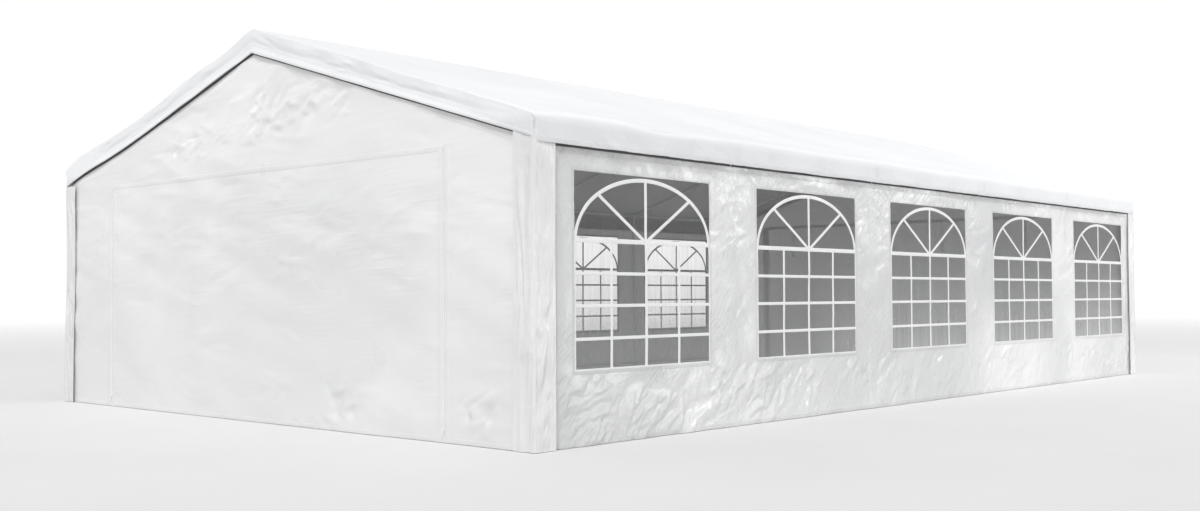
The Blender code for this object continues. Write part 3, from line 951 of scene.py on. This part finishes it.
def gable_surface(end, relief):
    """Points of a gable's outer face, by distance across it and by height."""

    def surface(x, z, lift=0.0):
        x, z = np.broadcast_arrays(np.asarray(x, float), np.asarray(z, float))
        calm = np.where(z < DOOR_TOP, smooth(0.0, 0.1, np.abs(np.abs(x) - DOOR_HALF)), 1.0)
        height = relief.at(x, z) * (0.4 + 0.6 * calm)
        loose = smooth(0.0, 0.1, GABLE_END - np.abs(x)) * smooth(0.02, 0.14, gable_top(x, end) - z)
        height = np.clip(height, -HELD_IN - LOOSE_IN * loose, STANDS_OUT)
        return np.stack([x, end * (GABLE_FACE + height + lift), z], -1)

    return surface


def end_frame(end):
    return 1 if end < 0 else len(FRAME_Y)


def gable_top(x, end):
    return fascia_edge(x, end) - SLIT + 2 * SLIT_COVER


GABLE_STEP = 0.0195


def make_gables():
    for name, end in ENDS:
        surface = gable_surface(end, gable_relief(41 + end))
        x = even(GABLE_STEP, -GABLE_END, -DOOR_HALF, 0.0, DOOR_HALF, GABLE_END)
        low = even(GABLE_STEP, GROUND_GAP, DOOR_TOP)
        wall = Shape()
        wall.cover(surface, x, low, keep=lambda xx, zz: np.abs(xx) >= DOOR_HALF, flip=end > 0)
        # Over the door, the rows close up towards the eaves
        xx, share = np.meshgrid(x, even(1 / 56, 0.0, 1.0), indexing="ij")
        zz = DOOR_TOP + (np.maximum(gable_top(xx, end), DOOR_TOP + 0.002) - DOOR_TOP) * share
        wall.grid(surface(xx, zz), np.stack([xx, zz], -1), flip=end > 0)
        gable = wall.piece(f"gable_sheet_{name}", GABLE_SHEET, "door_sheet", [f"wall_{name}"])
        panel = Shape()
        panel.cover(surface, x, low, keep=lambda xx, zz: np.abs(xx) < DOOR_HALF, flip=end > 0)
        door = panel.piece(f"door_sheet_{name}", GABLE_SHEET, "door_sheet", [f"door_panel_{name}"])
        flaps = Shape()
        for side in (-1, 1):
            for across in (-ZIP_FLAP_AT, ZIP_FLAP_AT):
                line = side * DOOR_HALF + across
                ribbon(flaps, surface, [(line, 0.004), (line, DOOR_TOP)], ZIP_FLAP_WIDTH, 0.0018)
        ribbon(flaps, surface, [(-DOOR_HALF, DOOR_TOP), (DOOR_HALF, DOOR_TOP)], 0.04, 0.0016)
        flap = flaps.piece(f"door_flaps_{name}", GABLE_SHEET, "door_sheet")
        make_zips(name, surface)
        make_door_ties(name, end, surface)
        hems = Shape()
        for a, b in ((-GABLE_END, -DOOR_HALF), (-DOOR_HALF, DOOR_HALF), (DOOR_HALF, GABLE_END)):
            ribbon(hems, surface, [(a + 0.003, 0.02), (b - 0.003, 0.02)], 0.034, 0.0014)
        hem = hems.piece(f"gable_hems_{name}", GABLE_SHEET, "door_sheet")
        peak = float(gable_top(0.0, end))
        whole = GABLE_END * (peak + float(gable_top(GABLE_END, end)))
        f"rafter_tubes_{end_frame(end)}"


ZIP_FLAP_AT = 0.032
ZIP_FLAP_WIDTH = 0.046
ZIP_TAPE_WIDTH = 0.03
ZIP_CHAIN_HALF = 0.0048
ZIP_PITCH = 0.008
SLIDER_AT = 0.085


def rounded_block(shape, centre, size, axes, squareness=0.3):
    """A block with rounded edges. axes are the world directions of its three sizes."""
    turns = np.linspace(0, 2 * math.pi, 32, endpoint=False)
    tilts = np.linspace(-math.pi / 2, math.pi / 2, 17)
    tt, pp = np.meshgrid(turns, tilts, indexing="ij")

    def power(value):
        return np.sign(value) * np.abs(value) ** squareness

    local = [power(np.cos(pp)) * power(np.cos(tt)), power(np.cos(pp)) * power(np.sin(tt)), power(np.sin(pp))]
    points = np.array(centre, float) + sum(
        part[..., None] * (reach / 2) * np.array(axis, float) for part, reach, axis in zip(local, size, axes)
    )
    shape.grid(points, closed=True)


def make_zips(name, surface):
    """A zip at each side of the door panel: tape, chain of teeth, and a slider with its tab at the foot."""
    tapes = Shape()
    chains = Shape()
    sliders = Shape()
    for side in (-1, 1):
        line = side * DOOR_HALF
        ribbon(tapes, surface, [(line, 0.006), (line, DOOR_TOP - 0.004)], ZIP_TAPE_WIDTH, 0.0008)
        aa, zz = np.meshgrid(np.linspace(-1, 1, 5), even(ZIP_PITCH / 4, 0.01, DOOR_TOP - 0.02), indexing="ij")
        tooth = 0.5 + 0.5 * np.cos(2 * math.pi * zz / ZIP_PITCH)
        rise = 0.0008 + (0.0014 + 0.001 * tooth) * np.sqrt(np.clip(1 - aa * aa, 0, 1))
        chains.grid(surface(line + aa * ZIP_CHAIN_HALF * (0.85 + 0.15 * tooth), zz, rise))
        spot = surface(line, SLIDER_AT, 0.005)
        out = np.array([0.0, np.sign(spot[1]), 0.0])
        axes = ((1, 0, 0), out, (0, 0, 1))
        rounded_block(sliders, spot, (0.018, 0.007, 0.028), axes)
        rounded_block(sliders, spot + out * 0.004 + (0, 0, 0.004), (0.006, 0.004, 0.014), axes, 0.6)
        rounded_block(sliders, spot + out * 0.0048 - (0, 0, 0.022), (0.011, 0.0022, 0.044), axes)
    tapes.piece(f"zip_tapes_{name}", WEBBING, "door_sheet", (), 60)
    chains.piece(f"zip_chains_{name}", ZIP_PLASTIC, "door_sheet", (), 60)
    sliders.piece(f"zip_sliders_{name}", ZIP_PLASTIC, "door_sheet", (), 60)


TIE_PLACES = (-1.75, -0.6, 0.6, 1.75)
TIE_DROP = 0.42
TIE_WIDTH = 0.025


def make_door_ties(name, end, surface):
    """Straps inside the door's top that hold it when it is rolled up, each with a toggle."""
    straps = Shape()
    toggles = Shape()
    for x in TIE_PLACES:
        for depth, drop in ((0.0035, TIE_DROP), (0.0065, TIE_DROP * 0.92)):
            z = even(0.03, DOOR_TOP - drop, DOOR_TOP - 0.01)
            rows = []
            for across in (-0.5, -0.47, 0.47, 0.5):
                sway = 0.004 * np.sin(z * 9.0 + x) * (DOOR_TOP - z) / drop
                lift = -depth - 0.0006 * (abs(across) < 0.48) - 0.003 * (DOOR_TOP - z) / drop
                rows.append(surface(x + across * TIE_WIDTH + sway, z, lift))
            straps.grid(np.stack(rows), flip=end > 0)
        spot = surface(x, DOOR_TOP - TIE_DROP - 0.004, -0.012)
        rounded_block(toggles, spot, (0.045, 0.012, 0.012), ((1, 0, 0), (0, 1, 0), (0, 0, 1)), 0.7)
    straps.piece(f"door_straps_{name}", WEBBING, "door_sheet", (), 60)
    toggles.piece(f"door_toggles_{name}", ZIP_PLASTIC, "door_sheet", (), 60)


# Corner covers

COVER_INSET = 0.0016
COVER_FACE_X = HALF_WIDTH - COVER_INSET
COVER_FACE_Y = HALF_LENGTH - COVER_INSET
COVER_REACH = HALF_WIDTH - CORNER_LOW.x
COVER_RADIUS = 0.018
COVER_TOP = 1.99
COVER_FLAT = COVER_REACH - COVER_INSET - COVER_RADIUS
COVER_BEND = COVER_RADIUS * math.pi / 4
COVER_HALF = COVER_FLAT + COVER_BEND


def corner_surface(side, end, relief):
    """Points of a corner cover, by distance round it and by height. Below 0 it is on the gable's side."""

    def surface(s, z, lift=0.0):
        s, z = np.broadcast_arrays(np.asarray(s, float), np.asarray(z, float))
        turn = np.clip(s / COVER_BEND, -1, 1) * math.pi / 4 + math.pi / 4
        along = np.abs(s) - COVER_BEND
        hold = 1 - smooth(1.75, 1.9, z)
        waist = 0.012 * bump(z, 1.2, 0.55) * (1 if (side, end) == (-1, -1) else 0.4)
        free = 1 - 0.85 * smooth(COVER_HALF - 0.07, COVER_HALF - 0.01, np.abs(s))
        out = relief.at(s, z) * (0.25 + 0.75 * hold) * smooth(0.0, 0.03, np.abs(s)) * free - waist * hold
        out = np.minimum(out, 0.006 * hold) - 0.0012 * smooth(1.84, 1.9, z) + lift
        # turn runs from the gable's outward normal to the long wall's
        nx, ny = np.sin(turn), np.cos(turn)
        x = COVER_FACE_X - COVER_RADIUS + COVER_RADIUS * nx
        y = COVER_FACE_Y - COVER_RADIUS + COVER_RADIUS * ny
        x = np.where(s < -COVER_BEND, COVER_FACE_X - COVER_RADIUS - along, x)
        y = np.where(s > COVER_BEND, COVER_FACE_Y - COVER_RADIUS - along, y)
        return np.stack([side * (x + nx * out), end * (y + ny * out), z], -1)

    return surface


def make_corners():
    for end_name, end in ENDS:
        for side_name, side in SIDES:
            name = f"{end_name}_{side_name}"
            relief = Relief(51 + 2 * side + end)
            relief.add_waves(16, 0.1, 0.0015, 0.0, 0.25)
            relief.add_crumple(0.028, 0.009, math.pi / 2, 12.0)
            relief.add_crumple(0.05, 0.011, math.pi / 2 - 0.3, 2.6, 0.5)
            relief.scatter(
                16, (-0.17, 0.17), (0.1, 1.7), math.pi / 2, 0.12, (0.3, 0.9), (0.01, 0.018), (0.003, 0.005)
            )
            surface = corner_surface(side, end, relief)
            shape = Shape()
            bend = (-COVER_BEND, COVER_BEND, 0.004)
            s = spaced((-COVER_HALF, -COVER_BEND, 0.01), bend, (COVER_BEND, COVER_HALF, 0.01))
            shape.cover(surface, s, even(0.016, GROUND_GAP, COVER_TOP), flip=side * end > 0)
            cover = shape.piece(f"corner_sheet_{name}", CORNER_SHEET, "corner_sheet", [f"corner_cover_{name}"])
            f"leg_tubes_{side_name}_{end_frame(end)}"


# Tube frame

TUBE_SIDES = 28
SLEEVE_RADIUS = TUBE_RADIUS + 0.0025
SLEEVE_HALF = 0.03
STUB = 0.08
LIP = 0.0012
LEG_JOINT = 1.04
UP_SLOPE = Vector((-1.0, 0.0, SLOPE)).normalized()
DOWN = Vector((0, 0, -1))
BUTTON_AT = 0.06  # from a joint's middle

FOOT_SIZE = 0.1
FOOT_THICKNESS = 0.005
FOOT_SETBACK = 0.001
FOOT_SHIFT = FOOT_SIZE / 2 - TUBE_RADIUS + FOOT_SETBACK
FOOT_ROUNDING = 0.012
FOOT_BEVEL = 0.0006
PEG_HOLE_INWARD = 0.028
PEG_HOLE_ACROSS = 0.03
PEG_HOLE_RADIUS = 0.0066


def tube(shape, start, end, radius=TUBE_RADIUS):
    """A tube with soft rims."""
    start, end = Vector(start), Vector(end)
    length = (end - start).length
    rim = [(radius - inward * LIP, at * LIP) for inward, at in ((2.5, 2), (1.5, 0), (0.5, 0.25), (0, 1))]
    shape.turned(rim + [(r, length - at) for r, at in reversed(rim)], start, end - start, TUBE_SIDES)


def sleeve(shape, start, end):
    """A joint's sleeve, with a rolled rim at each end."""
    start, end = Vector(start), Vector(end)
    length = (end - start).length
    rim = [
        (TUBE_RADIUS + 0.0003, 0.003), (SLEEVE_RADIUS - 0.0012, 0.0), (SLEEVE_RADIUS, 0.0006),
        (SLEEVE_RADIUS + 0.0007, 0.002), (SLEEVE_RADIUS + 0.0007, 0.004), (SLEEVE_RADIUS, 0.0058),
    ]
    shape.turned(rim + [(r, length - at) for r, at in reversed(rim)], start, end - start, TUBE_SIDES)


def weld_bead(shape, at, along, radius):
    """A ring of weld where a round bar of this radius leaves another piece."""
    rises = [(-0.001, 0.004), (0.0014, 0.0034), (0.0032, 0.0014), (0.0036, -0.002)]
    shape.turned([(radius + out, up) for out, up in rises], at, along, TUBE_SIDES)


def button(shape, at, outward):
    """The head of a spring button, seen where it stands out of a tube."""
    profile = [(0.0044, -0.003), (0.0044, 0.0012), (0.0038, 0.0021), (0.0022, 0.0028), (0.0001, 0.003)]
    shape.turned(profile, Vector(at), outward, 12)


def mirrored(side, vector):
    return Vector((side * vector[0], vector[1], vector[2]))


def make_legs(buttons):
    """Each leg: two lengths of tube, and the welded joint at its head that takes a rafter and two purlins."""
    for side_name, side in SIDES:
        for i, y in enumerate(FRAME_Y):
            joint = Vector((side * EAVE_TUBE.x, y, EAVE_TUBE.z))
            up = mirrored(side, UP_SLOPE)
            foot = Vector((joint.x, y, FOOT_THICKNESS))
            half = Vector((joint.x, y, LEG_JOINT))
            along = Vector((0, SLEEVE_HALF, 0))
            shape = Shape()
            tube(shape, foot, half)
            tube(shape, half, joint + DOWN * 0.05)
            weld_bead(shape, foot, (0, 0, 1), TUBE_RADIUS)
            sleeve(shape, joint - along, joint + along)
            for direction in (DOWN, up):
                sleeve(shape, joint + direction * TUBE_RADIUS * 0.6, joint + direction * STUB)
                weld_bead(shape, joint + direction * SLEEVE_RADIUS, direction, SLEEVE_RADIUS)
            name = f"{side_name}_{i + 1}"
            shape.piece(f"leg_tubes_{name}", COATED_STEEL, "steel_tube", [f"leg_{name}"], 40)
            inward = Vector((-side, 0, 0))
            button(buttons, half + DOWN * 0.05 + inward * TUBE_RADIUS, inward)
            button(buttons, joint + DOWN * BUTTON_AT + inward * SLEEVE_RADIUS, inward)
            button(buttons, joint + up * BUTTON_AT + Vector((0, SLEEVE_RADIUS, 0)), (0, 1, 0))


def make_rafters(buttons):
    """Each frame's rafters: two lengths of tube a side, and the ridge joint."""
    for i, y in enumerate(FRAME_Y):
        ridge = Vector((0, y, RIDGE_TUBE.z))
        along = Vector((0, SLEEVE_HALF, 0))
        shape = Shape()
        sleeve(shape, ridge - along, ridge + along)
        for side in (-1, 1):
            eave = Vector((side * EAVE_TUBE.x, y, EAVE_TUBE.z))
            up = mirrored(side, UP_SLOPE)
            half = (eave + ridge) / 2
            tube(shape, eave + up * (STUB - 0.02), half)
            tube(shape, half, ridge - up * (STUB - 0.02))
            sleeve(shape, ridge - up * TUBE_RADIUS * 0.6, ridge - up * STUB)
            weld_bead(shape, ridge - up * SLEEVE_RADIUS, -up, SLEEVE_RADIUS)
            under = DOWN + up * up.z
            button(buttons, half - up * 0.05 + under.normalized() * TUBE_RADIUS, under)
            button(buttons, ridge - up * BUTTON_AT + Vector((0, SLEEVE_RADIUS, 0)), (0, 1, 0))
        shape.piece(f"rafter_tubes_{i + 1}", COATED_STEEL, "steel_tube", [f"rafters_{i + 1}"], 40)


def make_purlins(buttons):
    """The ridge and eave tubes, a length for each bay, with a plug at each end."""
    rim = [(-0.0004, -0.002), (-0.001, 0.0012), (-0.005, 0.0026)]
    plug = [(TUBE_RADIUS + out, up) for out, up in rim] + [(0.0001, 0.003)]
    for name, node_name, x, z in (
        ("ridge", "ridge_purlin", 0.0, RIDGE_TUBE.z),
        ("eave_left", "eave_purlin_left", -EAVE_TUBE.x, EAVE_TUBE.z),
        ("eave_right", "eave_purlin_right", EAVE_TUBE.x, EAVE_TUBE.z),
    ):
        shape = Shape()
        ends = [-PURLIN_END, *FRAME_Y[1:-1], PURLIN_END]
        for start, end in zip(ends, ends[1:]):
            tube(shape, (x, start, z), (x, end, z))
        for end in (-1, 1):
            shape.turned(plug, (x, end * PURLIN_END, z), (0, end, 0), TUBE_SIDES)
        shape.piece(f"{name}_tubes", COATED_STEEL, "steel_tube", [node_name], 40)
        for y in FRAME_Y[1:-1]:
            button(buttons, (x, y - 0.045, z - TUBE_RADIUS), (0, 0, -1))


def arc(x, y, radius, start, end, count):
    """Points round a centre, between two angles in degrees."""
    turns = np.radians(np.linspace(start, end, count))
    return [(x + radius * math.cos(a), y + radius * math.sin(a)) for a in turns]


def add_outline(curve, points):
    spline = curve.splines.new("POLY")
    spline.points.add(len(points) - 1)
    for point, (x, y) in zip(spline.points, points):
        point.co = (x, y, 0, 1)
    spline.use_cyclic_u = True


def make_foot_plates():
    """Pressed plates with rounded corners and two peg holes each, welded under the legs."""
    curve = bpy.data.curves.new("foot_outline", "CURVE")
    curve.dimensions = "2D"
    curve.fill_mode = "BOTH"
    curve.extrude = FOOT_THICKNESS / 2 - FOOT_BEVEL
    curve.bevel_depth = FOOT_BEVEL
    curve.bevel_resolution = 2
    reach = FOOT_SIZE / 2 - FOOT_BEVEL - FOOT_ROUNDING
    for side in (-1, 1):
        for i, leg_y in enumerate(FRAME_Y):
            shift = FOOT_SHIFT * (1 if i == 0 else -1 if i == len(FRAME_Y) - 1 else 0)
            x, y = Vector((side * (EAVE_TUBE.x + TUBE_RADIUS - FOOT_SETBACK - FOOT_SIZE / 2), leg_y + shift))
            outline = []
            for cx, cy, start in ((1, 1, 0), (-1, 1, 90), (-1, -1, 180), (1, -1, 270)):
                outline += arc(x + cx * reach, y + cy * reach, FOOT_ROUNDING, start, start + 90, 7)
            add_outline(curve, outline)
            for across in (-PEG_HOLE_ACROSS, PEG_HOLE_ACROSS):
                inward = x - side * PEG_HOLE_INWARD
                add_outline(curve, arc(inward, y + across, PEG_HOLE_RADIUS, 0, -337.5, 16))
    drawn = placed("foot_outline", curve)
    mesh = bpy.data.meshes.new_from_object(drawn.evaluated_get(bpy.context.evaluated_depsgraph_get()))
    bpy.data.objects.remove(drawn, do_unlink=True)
    mesh.transform(Matrix.Translation((0, 0, FOOT_THICKNESS / 2)))
    mesh.materials.clear()
    mesh.materials.append(ZINC_STEEL)
    dressed("foot_plates", mesh, (), 35)


def make_frame():
    buttons = Shape()
    make_legs(buttons)
    make_rafters(buttons)
    make_purlins(buttons)
    make_foot_plates()
    buttons.piece("spring_buttons", ZINC_STEEL, "foot_steel", (), 40)


# The dark strips of painted shadow behind the slits under the valances, the bands that close the slits, and
# the loops that hang the walls

SHEET = 0.004  # the solid walls' thickness
BAND_GAP = 0.0018
BAND_OVER = 0.01  # how far the dark strip of painted shadow reaches past its slit
BAND_BELOW = 0.02  # how far a band reaches past the dark strip
BAND_REACH = 0.135
BAND_STEPS = (0.03, 0.0127, 0.015)  # along a band, up the dark strip and up the band


def make_eave_bands():
    """Inside each long wall's top: a dark strip behind the slit, painted shadow for the gap under the valance,
    and a band of sheet over it.
    """
    along, up_painted_shadow, up_band = BAND_STEPS
    for name, side in SIDES:
        reach = FRAME_Y[-1] - 0.03
        low, high = LONG_TOP - BAND_OVER, VALANCE_FOOT + BAND_OVER
        y = even(along, -reach, reach)
        face = LONG_FACE - SHEET - BAND_GAP / 2
        relief = Relief(61 + side)
        relief.add_waves(16, 0.4, 0.0004, 0.0, 0.4)

        def flat(yy, zz, lift):
            return np.stack([side * (face + lift) + 0 * yy, yy, zz], -1)

        def wavy(yy, zz, lift):
            return flat(yy, zz, -BAND_GAP - np.abs(relief.at(yy, zz)))

        def clear(yy, zz):
            return np.min([np.abs(yy - leg) for leg in FRAME_Y], axis=0) > 0.04

        tape, band = Shape(), Shape()
        # The dark strip behind the slit is painted shadow.
        tape.cover(flat, y, even(up_painted_shadow, low, high), flip=side < 0)
        painted_shadow_piece = tape.piece(f"eave_tape_{name}", PAINTED_SHADOW_STRIP, "wall_sheet")
        band.cover(wavy, y, even(up_band, low - BAND_BELOW, low + BAND_REACH), keep=clear, flip=side < 0)
        band_piece = band.piece(f"eave_band_{name}", WALL_SHEET, "wall_sheet")


def make_gable_bands():
    """The same dark strip of painted shadow and band inside each gable's top edge, along the rafters."""
    along, up_painted_shadow, up_band = BAND_STEPS
    for name, end in ENDS:
        reach = EAVE_TUBE.x - 0.06
        x = even(along, -reach, 0.0, reach)
        low, high = -BAND_OVER, SLIT + BAND_OVER

        def flat(xx, up, lift):
            face = GABLE_FACE - SHEET - BAND_GAP / 2 + lift
            return np.stack([xx, end * face + 0 * xx, gable_top(xx, end) + up], -1)

        tape, band = Shape(), Shape()
        # The dark strip behind the slit is painted shadow.
        tape.cover(flat, x, even(up_painted_shadow, low, high), flip=end > 0)
        painted_shadow_piece = tape.piece(f"gable_tape_{name}", PAINTED_SHADOW_STRIP, "door_sheet")
        low, high = low - BAND_BELOW, high + BAND_BELOW
        band.cover(flat, x, even(up_band, low, high), -BAND_GAP, flip=end > 0)
        band_piece = band.piece(f"gable_band_{name}", GABLE_SHEET, "door_sheet")
        f"rafter_tubes_{end_frame(end)}"


LOOP_WIDTH = 0.018
LOOP_BESIDE_LEG = 0.075


def make_wall_loops():
    """Webbing loops inside the top bands, which hang the long walls on the eave tubes by each leg."""
    x, z = EAVE_TUBE.x, EAVE_TUBE.z
    radius = TUBE_RADIUS + 0.0012
    back = LONG_FACE - 0.0088
    path = [(back, LONG_TOP - 0.035), (back, LONG_TOP + 0.02), (x + radius, z - 0.04)]
    path += arc(x, z, radius, 0, 180, 12)
    path += [(x - radius + 0.004, z - 0.05), (back - 0.012, LONG_TOP + 0.02), (back - 0.002, LONG_TOP - 0.03)]
    path = np.array(path)
    for name, side in SIDES:
        shape = Shape()
        for y in FRAME_Y:
            for middle_y in (y - LOOP_BESIDE_LEG, y + LOOP_BESIDE_LEG):
                if abs(middle_y) > LONG_END:
                    continue
                edges = []
                for off, rise in ((-0.5, 0.0), (-0.46, 0.0006), (0.46, 0.0006), (0.5, 0.0)):
                    across = np.full(len(path), middle_y + off * LOOP_WIDTH)
                    edges.append(np.stack([side * (path[:, 0] + rise), across, path[:, 1]], -1))
                shape.grid(np.stack(edges), flip=side < 0)
        shape.piece(f"wall_loops_{name}", WEBBING, "wall_sheet", (), 60)


# Floor, light and camera

FLOOR_REACH = 60.0
FLOOR_CLEAR_FROM = 13.0
FLOOR_CLEAR_AT = 45.0
HORIZON_LIGHT = 0.42
ZENITH_LIGHT = 0.63
KEY_TOWARDS = (0.36, -0.5, 0.79)
KEY_STRENGTH = 2.0
KEY_SPREAD = math.radians(18)
CAMERA_AT = (8.628, -10.644, 0.961)
CAMERA_YAW = math.radians(-41.997)
CAMERA_PITCH = math.radians(1.776)
CAMERA_ROLL = math.radians(-0.235)
LENS = 38.58
SENSOR = 36.0
GLINT_SIZE = 0.7


def make_floor():
    """A pale round floor that fades out far from the tent."""
    material, tree, shader, body = principled("floor")
    away = node(tree, "ShaderNodeVectorMath", {"operation": "LENGTH"})
    put(away.inputs[0], body)
    worn = noise_at(tree, body, 0.8, 3.0)
    feed(
        shader, Roughness=0.9, Base_Color=mixed_colour(tree, worn, (0.76, 0.76, 0.755), (0.72, 0.72, 0.715)),
        Alpha=scaled(tree, away.outputs["Value"], FLOOR_CLEAR_FROM, FLOOR_CLEAR_AT, 1.0, 0.0),
    )
    angles = np.linspace(0, 2 * math.pi, 96, endpoint=False)
    aa, rr = np.meshgrid(angles, spaced((0.0, 20.0, 2.0), (20.0, FLOOR_REACH, 4.0)) + 0.01, indexing="ij")
    shape = Shape()
    shape.grid(np.stack([rr * np.cos(aa), rr * np.sin(aa), 0 * rr], -1), closed=True, flip=True)
    placed("floor", shape.mesh("floor", material))


def make_world():
    """A pale studio, a little brighter overhead. The camera sees it as plain white."""
    world = bpy.data.worlds.new("studio")
    bpy.context.scene.world = world
    world.use_nodes = True
    tree = world.node_tree
    up = parts_of(tree, node(tree, "ShaderNodeTexCoord").outputs["Generated"])["Z"]
    back = tree.nodes["Background"]
    feed(back, Color=(0.99, 0.995, 1.0, 1), Strength=scaled(tree, up, 0.0, 1.0, HORIZON_LIGHT, ZENITH_LIGHT))
    seen = node(tree, "ShaderNodeBackground", Color=(1.0, 1.0, 1.0, 1), Strength=1.02)
    by_camera = node(tree, "ShaderNodeLightPath").outputs["Is Camera Ray"]
    mixed_shader(tree, by_camera, back, seen, "World Output")


def placed_light(name, light, power, towards):
    """A light that shines from a direction."""
    light.energy = power
    obj = placed(name, light)
    obj.rotation_mode = "QUATERNION"
    obj.rotation_quaternion = Vector(towards).to_track_quat("Z", "Y")
    return obj


def make_key():
    """A broad key from the front and above, as soft as a large panel."""
    light = bpy.data.lights.new("key", "SUN")
    light.angle = KEY_SPREAD
    placed_light("key", light, KEY_STRENGTH, KEY_TOWARDS)


def make_light(name, at, target, size, power):
    """A square soft light that faces the target."""
    light = bpy.data.lights.new(name, "AREA")
    light.shape = "SQUARE"
    light.size = size
    obj = placed_light(name, light, power, Vector(at) - Vector(target))
    obj.location = at
    return obj


def make_far_light(name, towards, distance, target, size, power):
    """A soft light at a distance from the target, in a direction."""
    make_light(name, Vector(target) + Vector(towards).normalized() * distance, target, size, power)


def make_glint(name, at, target, power, pieces):
    """A small light beside one side of the tent, for its sheets only, so that their creases glint."""
    light = make_light(name, at, target, GLINT_SIZE, power)
    lit = bpy.data.collections.new(f"{name}_lit")
    for obj in bpy.data.objects:
        if obj.name.startswith(pieces):
            lit.objects.link(obj)
    light.light_linking.receiver_collection = lit


def make_camera():
    data = bpy.data.cameras.new("camera")
    data.sensor_width = SENSOR
    data.lens = LENS
    flat = Vector((math.sin(CAMERA_YAW), math.cos(CAMERA_YAW), 0.0))
    forward = flat * math.cos(CAMERA_PITCH) + Vector((0.0, 0.0, math.sin(CAMERA_PITCH)))
    level = Vector((flat.y, -flat.x, 0.0))
    right = level * math.cos(CAMERA_ROLL) + level.cross(forward) * math.sin(CAMERA_ROLL)
    turn = Matrix((right, right.cross(forward), -forward)).transposed().to_4x4()
    camera = placed("camera", data)
    camera.matrix_world = Matrix.Translation(Vector(CAMERA_AT)) @ turn
    bpy.context.scene.camera = camera


bpy.context.scene.view_settings.view_transform = "Standard"
make_camera()
make_world()
make_floor()
make_key()
make_far_light("side", (0.66, 0.69, 0.29), 14.0, (2.5, 1.5, 0.6), 1.8, 330.0)
make_far_light("left", (-0.82, -0.45, 0.34), 15.0, (0.0, -4.0, 1.2), 2.0, 90.0)
make_frame()
make_roof()
make_fascias()
make_long_walls()
make_gables()
make_corners()
make_eave_bands()
make_gable_bands()
make_wall_loops()
SIDE_SHEETS = ("long_wall_", "corner_sheet_", "roof_sheet")
END_SHEETS = ("gable_sheet_", "door_sheet_", "gable_fascia_")
make_glint("side_glint", (11.8, 4.8, 0.35), (LONG_FACE, -4.0, 0.6), 120.0, SIDE_SHEETS)
make_glint("front_glint", (-10.9, -12.9, 3.4), (0.5, -GABLE_FACE, 2.0), 35.0, END_SHEETS)
